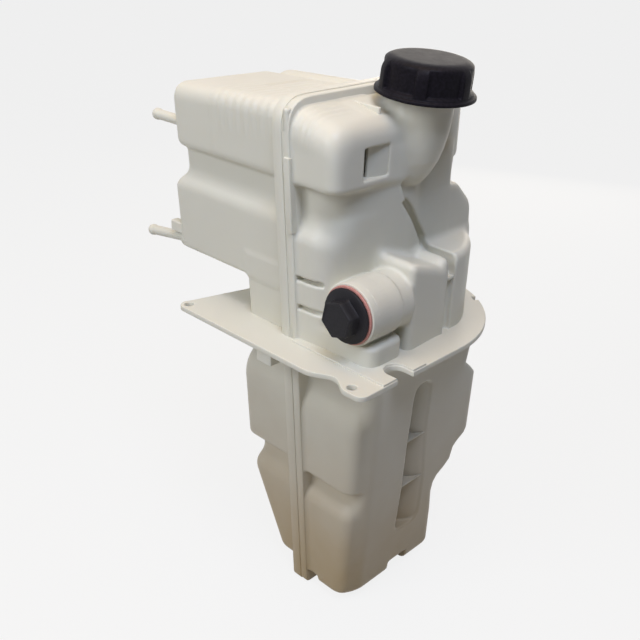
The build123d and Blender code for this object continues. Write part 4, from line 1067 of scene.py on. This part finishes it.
# Rows of the round flange are (radius, height), those of the head (share of the hexagon, height).
flange_rows = [(16.0, -19.5), (19.2, -20.0), (20.0, -19.2), (20.0, 2.2), (24.2, 2.25), (24.8, 2.6)]
flange_rows += [(24.9, 3.2), (24.9, 4.2), (24.6, 4.8), (23.6, 5.2), (20.5, 5.5)]
head_rows = [(1.03, 6.1), (1.0, 7.0), (0.995, 12.0), (0.99, 16.2), (0.97, 16.8), (0.93, 17.1)]
head_rows += [(0.86, 17.1), (0.84, 16.8), (0.4, 16.8)]
flange_rows = np.array(flange_rows)
head_rows = np.array(head_rows)
flange_radius = np.repeat(flange_rows[:, :1], len(turns), 1)
plug_radius = np.concatenate([flange_radius, head_rows[:, :1] * hexagon])
plug_height = np.concatenate([flange_rows[:, 1], head_rows[:, 1]])
plug_grid = (turns + HEXAGON_TURN, plug_radius, plug_height)
plug_piece = closed_grid("hexagon_plug", *plug_grid, PORT, PORT_AXIS, "plug", "plug", 35)
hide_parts("port_plug")
seal_section = softened([(20.6, 0.05), (26.4, 0.05), (26.4, 2.1), (20.6, 2.1)], 0.8)
seal_piece = turned("seal_ring", seal_section, PORT, PORT_AXIS, "seal", "red_rubber")
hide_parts("plug_seal")

# %% [markdown]
# ## Valve springs
# Each spring is round wire along a helix on the neck's axis.

# %% Valve springs
VALVE_TOP = 6.0
PRESSURE_HEIGHT = 13.0
VACUUM_HEIGHT = 9.0
STEPS_A_TURN = 36


def coil(name, height, radius, wire, turns, body):
    """Ring of wire points carried along a helix that rises from the valve's top."""
    turn = np.linspace(0.0, 2 * np.pi * turns, STEPS_A_TURN * turns + 1)
    around = np.linspace(0.0, 2 * np.pi, 10, endpoint=False)
    first = np.array([NECK_AXIS[2], 0.0, -NECK_AXIS[0]])
    spoke = np.cos(turn)[:, None] * first + np.sin(turn)[:, None] * np.array([0.0, 1.0, 0.0])
    out = radius + wire * np.cos(around)
    climb = (height - 2 * wire) * turn[:, None] / turn[-1]
    rise = VALVE_TOP + wire + climb - wire * np.sin(around)
    points = NECK + out[None, :, None] * spoke[:, None, :] + rise[:, :, None] * NECK_AXIS
    piece = make_piece(name, points.reshape(-1, 3) * MM, capped_faces(*rise.shape), body, "spring")
    piece.data.set_sharp_from_angle(angle=np.radians(60))
    return piece


pressure_coil = coil("pressure_coil", PRESSURE_HEIGHT, radius=11.0, wire=0.9, turns=3, body="insert")
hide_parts("pressure_spring")
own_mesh(pressure_coil)
vacuum_coil = coil("vacuum_coil", VACUUM_HEIGHT, radius=3.6, wire=0.5, turns=4, body="pressure")
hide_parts("vacuum_spring")
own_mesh(vacuum_coil)

# %% [markdown]
# ## Finishes
# Every finish is worked out from noise in object space, so it has its true size
# on each piece. Colours are written as they look on a screen and turned into
# linear light by one function; one helper places a node and sets its sockets.

# %% Node helper and colour function
def linear(code):
    """Screen colour such as #D8D2C2 as linear red, green, blue and alpha."""
    parts = np.array([int(code[i : i + 2], 16) for i in (1, 3, 5)]) / 255.0
    return (*np.where(parts <= 0.04045, parts / 12.92, ((parts + 0.055) / 1.055) ** 2.4), 1.0)


def node(tree, kind, links=(), values=(), **settings):
    """New node with settings, socket values by name and links into it."""
    made = tree.nodes.new(kind)
    for name, value in settings.items():
        setattr(made, name, value)
    for name, value in dict(values).items():
        made.inputs[name].default_value = value
    for name, source in dict(links).items():
        tree.links.new(source, made.inputs[name])
    return made


def finish(name):
    """New material with its tree, object coordinates and bare shader."""
    material = bpy.data.materials.new(name)
    material.use_nodes = True
    tree = material.node_tree
    shader = tree.nodes["Principled BSDF"]
    places = node(tree, "ShaderNodeTexCoord").outputs["Object"]
    return material, tree, shader, places


def spots(size_mm):
    """Noise scale: how many spots of a size in millimetres fit into a metre."""
    return float(round(1000.0 / size_mm))


print("spots of 2 mm have the scale", spots(2.0))

# %% [markdown]
# Natural polypropylene is milky: light enters a little way, so edges glow and
# shadows stay soft. Below the plate the colour is painted darker and tan as
# painted shade. The colour therefore follows the height, with a cloudy noise
# so that the change has no hard line.

# %% Natural polypropylene
tank_plastic, tree, shader, places = finish("natural_polypropylene")
# Moulded in a spark-eroded tool: a faint grain, and a cloudy painted shade below the plate.
# The tool's real grain is finer than a pixel, so it is drawn about 1 mm wide.
CLOUD_MM = 71.4
GRAIN_MM = 1.111
PATCH_MM = 28.6
CLOUD_REACH = 0.10  # metres by which the clouds shift the painted shade's height
PAINTED_SHADE_LOW = -0.24
PAINTED_SHADE_HIGH = 0.04
# Painted shade: the base colour grows darker and tan towards the bottom, below the plate, with a cloudy
# edge.
height_split = node(tree, "ShaderNodeSeparateXYZ", {"Vector": places})
clouds = node(tree, "ShaderNodeTexNoise", {"Vector": places}, {"Scale": spots(CLOUD_MM), "Detail": 3.0})
painted_shade = node(tree, "ShaderNodeMath", {0: clouds.outputs["Fac"]}, {1: CLOUD_REACH}, operation="MULTIPLY")
painted_shade = node(tree, "ShaderNodeMath", {0: height_split.outputs["Z"], 1: painted_shade.outputs[0]}, operation="ADD")
painted_shade_range = {"From Min": PAINTED_SHADE_LOW, "From Max": PAINTED_SHADE_HIGH}
painted_shade = node(tree, "ShaderNodeMapRange", {"Value": painted_shade.outputs[0]}, painted_shade_range)
# Painted shade ramp: darker tan at the bottom, a middle tone, then pale ivory above the plate.
painted_shade_tint = node(tree, "ShaderNodeValToRGB", {"Fac": painted_shade.outputs["Result"]})
painted_shade_tint.color_ramp.elements[0].color = linear("#B09A74")
painted_shade_tint.color_ramp.elements[1].color = linear("#DAD7C8")
middle = painted_shade_tint.color_ramp.elements.new(0.55)
middle.color = linear("#C8BFAB")
tree.links.new(painted_shade_tint.outputs["Color"], shader.inputs["Base Color"])
grain = node(tree, "ShaderNodeTexNoise", {"Vector": places}, {"Scale": spots(GRAIN_MM), "Detail": 2.0})
grain_depth = {"Strength": 0.06, "Distance": 0.4 * MM}
bump = node(tree, "ShaderNodeBump", {"Height": grain.outputs["Fac"]}, grain_depth)
tree.links.new(bump.outputs["Normal"], shader.inputs["Normal"])
patches = node(tree, "ShaderNodeTexNoise", {"Vector": places}, {"Scale": spots(PATCH_MM), "Detail": 3.0})
gloss_range = {"To Min": 0.30, "To Max": 0.46}
gloss = node(tree, "ShaderNodeMapRange", {"Value": patches.outputs["Fac"]}, gloss_range)
tree.links.new(gloss.outputs["Result"], shader.inputs["Roughness"])
shader.inputs["IOR"].default_value = 1.49
shader.inputs["Specular IOR Level"].default_value = 0.22
shader.inputs["Subsurface Weight"].default_value = 0.12
shader.inputs["Subsurface Radius"].default_value = (0.012, 0.009, 0.006)
shader.inputs["Subsurface Scale"].default_value = 0.6
print(tank_plastic.name, len(tree.nodes), "nodes")

# %% [markdown]
# The cap and plug are black, but not alike: the cap is glossy from a polished
# tool and has fine handling marks, the plug is matt glass-filled nylon. Rubber,
# brass and spring wire are hidden until the cap or plug comes off.

# %% Darker plastics, rubber and metal
def speckled(name, dark, light, speck_mm, rough, bump_strength, bump_mm, shine=0.5, metal=0.0):
    """Finish with two close colours in fine noise, uneven gloss and grain."""
    material, tree, shader, places = finish(name)
    scale = spots(speck_mm)
    specks = node(tree, "ShaderNodeTexNoise", {"Vector": places}, {"Scale": scale, "Detail": 4.0})
    tone = node(tree, "ShaderNodeValToRGB", {"Fac": specks.outputs["Fac"]})
    tone.color_ramp.elements[0].position, tone.color_ramp.elements[1].position = 0.35, 0.68
    tone.color_ramp.elements[0].color, tone.color_ramp.elements[1].color = linear(dark), linear(light)
    tree.links.new(tone.outputs["Color"], shader.inputs["Base Color"])
    marks = node(tree, "ShaderNodeTexNoise", {"Vector": places}, {"Scale": scale * 0.3, "Detail": 3.0})
    gloss_range = {"To Min": rough[0], "To Max": rough[1]}
    uneven = node(tree, "ShaderNodeMapRange", {"Value": marks.outputs["Fac"]}, gloss_range)
    tree.links.new(uneven.outputs["Result"], shader.inputs["Roughness"])
    depth = {"Strength": bump_strength, "Distance": bump_mm * MM}
    relief = node(tree, "ShaderNodeBump", {"Height": specks.outputs["Fac"]}, depth)
    tree.links.new(relief.outputs["Normal"], shader.inputs["Normal"])
    shader.inputs["Metallic"].default_value = metal
    shader.inputs["Specular IOR Level"].default_value = shine
    print(name, len(tree.nodes), "nodes")
    return material


# After the two colours come the specks' width in mm, the range of roughness, the relief's
# strength and depth in mm, the shine, and 1 for a metal. Real specks are finer than a pixel,
# so they are drawn 1 to 4 mm wide.
# Cap: moulded in a polished tool and often handled, so its highlights are soft and uneven.
cap_plastic = speckled("glossy_black_nylon", "#131115", "#1D1A20", 2.38, (0.36, 0.48), 0.03, 0.2, 0.06)
# Plug: glass-filled nylon from a textured tool, which spreads the light over its faces.
plug_plastic = speckled("matt_black_nylon", "#131215", "#1D1B20", 1.111, (0.42, 0.6), 0.25, 0.25, 0.22)
# Seal: moulded silicone, slightly dusty, without a sharp highlight.
red_rubber = speckled("salmon_silicone", "#B4776D", "#C68D83", 1.667, (0.5, 0.65), 0.1, 0.2)
# Rings inside the cap: pressed nitrile rubber, dull all over.
black_rubber = speckled("black_nitrile_rubber", "#141414", "#1D1D1D", 1.429, (0.55, 0.75), 0.15, 0.2)
# Valve discs: turned brass with a warm shine.
brass = speckled("turned_brass", "#A98743", "#BF9C57", 3.846, (0.25, 0.4), 0.05, 0.05, 0.5, 1.0)
# Springs: drawn steel wire with a bright line along it.
wire = speckled("drawn_steel_wire", "#9A9CA0", "#B5B7BA", 2.0, (0.25, 0.4), 0.05, 0.05, 0.5, 1.0)

# %% [markdown]
# The record gives every node a slot, and each new piece was given one when it was
# made. So a finish is chosen by slot, and no piece is forgotten.

# %% Give every piece its finish
finishes = {"tank": tank_plastic, "cap": cap_plastic, "plug": plug_plastic, "insert": plug_plastic}
finishes |= {"black_rubber": black_rubber, "red_rubber": red_rubber, "valve": brass, "spring": wire}
slots = {part["node"]: part["material_slot"] for part in frame["record"]["subparts"]}
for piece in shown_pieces():
    slot_name = piece.get("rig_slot") or slots.get(piece.name)
    piece.data.materials.clear()
    piece.data.materials.append(finishes[slot_name])

# %% [markdown]
# ## Studio
# A pale floor, one warm soft light above, a cooler one from the left front, a
# bluish one high in front and a weak one behind, as in a plain product shot. The
# floor looks white to the camera but keeps a share of its real light, so the
# shadow stays.

# %% Floor
def plane(name, half, height):
    """Square plane of a half width at a height."""
    corners = [(-half, -half, height), (half, -half, height), (half, half, height), (-half, half, height)]
    mesh = bpy.data.meshes.new(name)
    mesh.from_pydata(corners, [], [(0, 1, 2, 3)])
    made = bpy.data.objects.new(name, mesh)
    bpy.context.scene.collection.objects.link(made)
    return made


def seen_directly(tree):
    """1 for rays from the camera, a mirror or glass, else 0."""
    rays = node(tree, "ShaderNodeLightPath").outputs
    either = {0: rays["Is Camera Ray"], 1: rays["Is Glossy Ray"]}
    mirrored = node(tree, "ShaderNodeMath", either, operation="MAXIMUM").outputs[0]
    either = {0: mirrored, 1: rays["Is Transmission Ray"]}
    return node(tree, "ShaderNodeMath", either, operation="MAXIMUM").outputs[0]


FLOOR_HALF = 20.0
FLOOR_HEIGHT = -0.2985
WHITE_SHARE = 0.85
floor = plane("floor", FLOOR_HALF, FLOOR_HEIGHT)
paper = bpy.data.materials.new("white_paper_sweep")
paper.use_nodes = True
tree = paper.node_tree
diffuse = tree.nodes["Principled BSDF"]
diffuse.inputs["Base Color"].default_value = linear("#B4B3B0")
diffuse.inputs["Roughness"].default_value = 0.9
white = node(tree, "ShaderNodeEmission", (), {"Color": (1, 1, 1, 1), "Strength": 1.0})
share = node(tree, "ShaderNodeMath", {0: seen_directly(tree)}, {1: WHITE_SHARE}, operation="MULTIPLY")
mix = node(tree, "ShaderNodeMixShader", {0: share.outputs[0], 1: diffuse.outputs[0], 2: white.outputs[0]})
tree.links.new(mix.outputs[0], tree.nodes["Material Output"].inputs["Surface"])
floor.data.materials.append(paper)
print("floor at", FLOOR_HEIGHT, "m")

# %% Backdrop
WORLD_STRENGTH = 0.05
world = bpy.data.worlds.new("studio")
bpy.context.scene.world = world
world.use_nodes = True
tree = world.node_tree
around = tree.nodes["Background"]
around.inputs["Color"].default_value = linear("#D3DEF2")
around.inputs["Strength"].default_value = WORLD_STRENGTH
backdrop = node(tree, "ShaderNodeBackground", (), {"Color": (1, 1, 1, 1), "Strength": 1.0})
either_light = {0: seen_directly(tree), 1: around.outputs[0], 2: backdrop.outputs[0]}
sky = node(tree, "ShaderNodeMixShader", either_light)
tree.links.new(sky.outputs[0], tree.nodes["World Output"].inputs["Surface"])
print(world.name, len(tree.nodes), "nodes")

# %% Lights
def soft_light(name, place, target, size, power, colour):
    """Square area light at a place, turned to a target."""
    lamp = bpy.data.lights.new(name, "AREA")
    lamp.shape, lamp.size, lamp.energy, lamp.color = "SQUARE", size, power, linear(colour)[:3]
    made = bpy.data.objects.new(name, lamp)
    bpy.context.scene.collection.objects.link(made)
    toward = Vector(target) - Vector(place)
    made.matrix_world = Matrix.Translation(place) @ toward.to_track_quat("-Z", "Y").to_matrix().to_4x4()
    return made


# Place and target are in metres, then the side in metres, the power in watts and the colour.
soft_light("warm_top", (0.05, -0.10, 1.70), (0.0, 0.12, 0.0), 1.2, 13.0, "#FFDA9E")
soft_light("left_fill", (-0.25, -1.45, 1.05), (0.0, 0.12, -0.08), 0.9, 18.0, "#F2F6FF")
soft_light("front_fill", (0.72, -0.38, 1.55), (0.05, 0.12, 0.10), 0.6, 16.5, "#D0DFFF")
soft_light("back_fill", (-0.70, 1.50, 0.25), (0.0, 0.12, -0.02), 0.9, 5.0, "#FFF3E0")

# %% [markdown]
# ## Camera
# The view was measured: azimuth, elevation, roll, place and lens that put the
# bolt holes, the cap and the foot where they are seen. Three angles give the
# camera's right, up and back directions, which are the columns of its matrix.

# %% Camera
AZIMUTH = 43.7216
ELEVATION = 26.0668
ROLL = 1.95336
CAMERA_PLACE = (0.5150, -0.4659, 0.3680)
LENS_MM = 48.738
SENSOR_MM = 36.0
turn, rise, roll = np.radians((AZIMUTH, ELEVATION, ROLL))
right_level = np.array([np.cos(turn), np.sin(turn), 0.0])
ahead = np.array([-np.sin(turn) * np.cos(rise), np.cos(turn) * np.cos(rise), -np.sin(rise)])
up_level = np.array([-np.sin(turn) * np.sin(rise), np.cos(turn) * np.sin(rise), np.cos(rise)])
right = np.cos(roll) * right_level + np.sin(roll) * up_level
upward = np.cos(roll) * up_level - np.sin(roll) * right_level
lens = bpy.data.cameras.new("camera")
lens.lens = LENS_MM
lens.sensor_width = SENSOR_MM
camera = bpy.data.objects.new("camera", lens)
bpy.context.scene.collection.objects.link(camera)
pose = np.eye(4)
pose[:3] = np.column_stack([right, upward, -ahead, CAMERA_PLACE])
camera.matrix_world = Matrix(pose.tolist())
bpy.context.scene.camera = camera
bpy.context.scene.view_settings.view_transform = "Standard"
print("camera at", CAMERA_PLACE, "m with a lens of", LENS_MM, "mm")
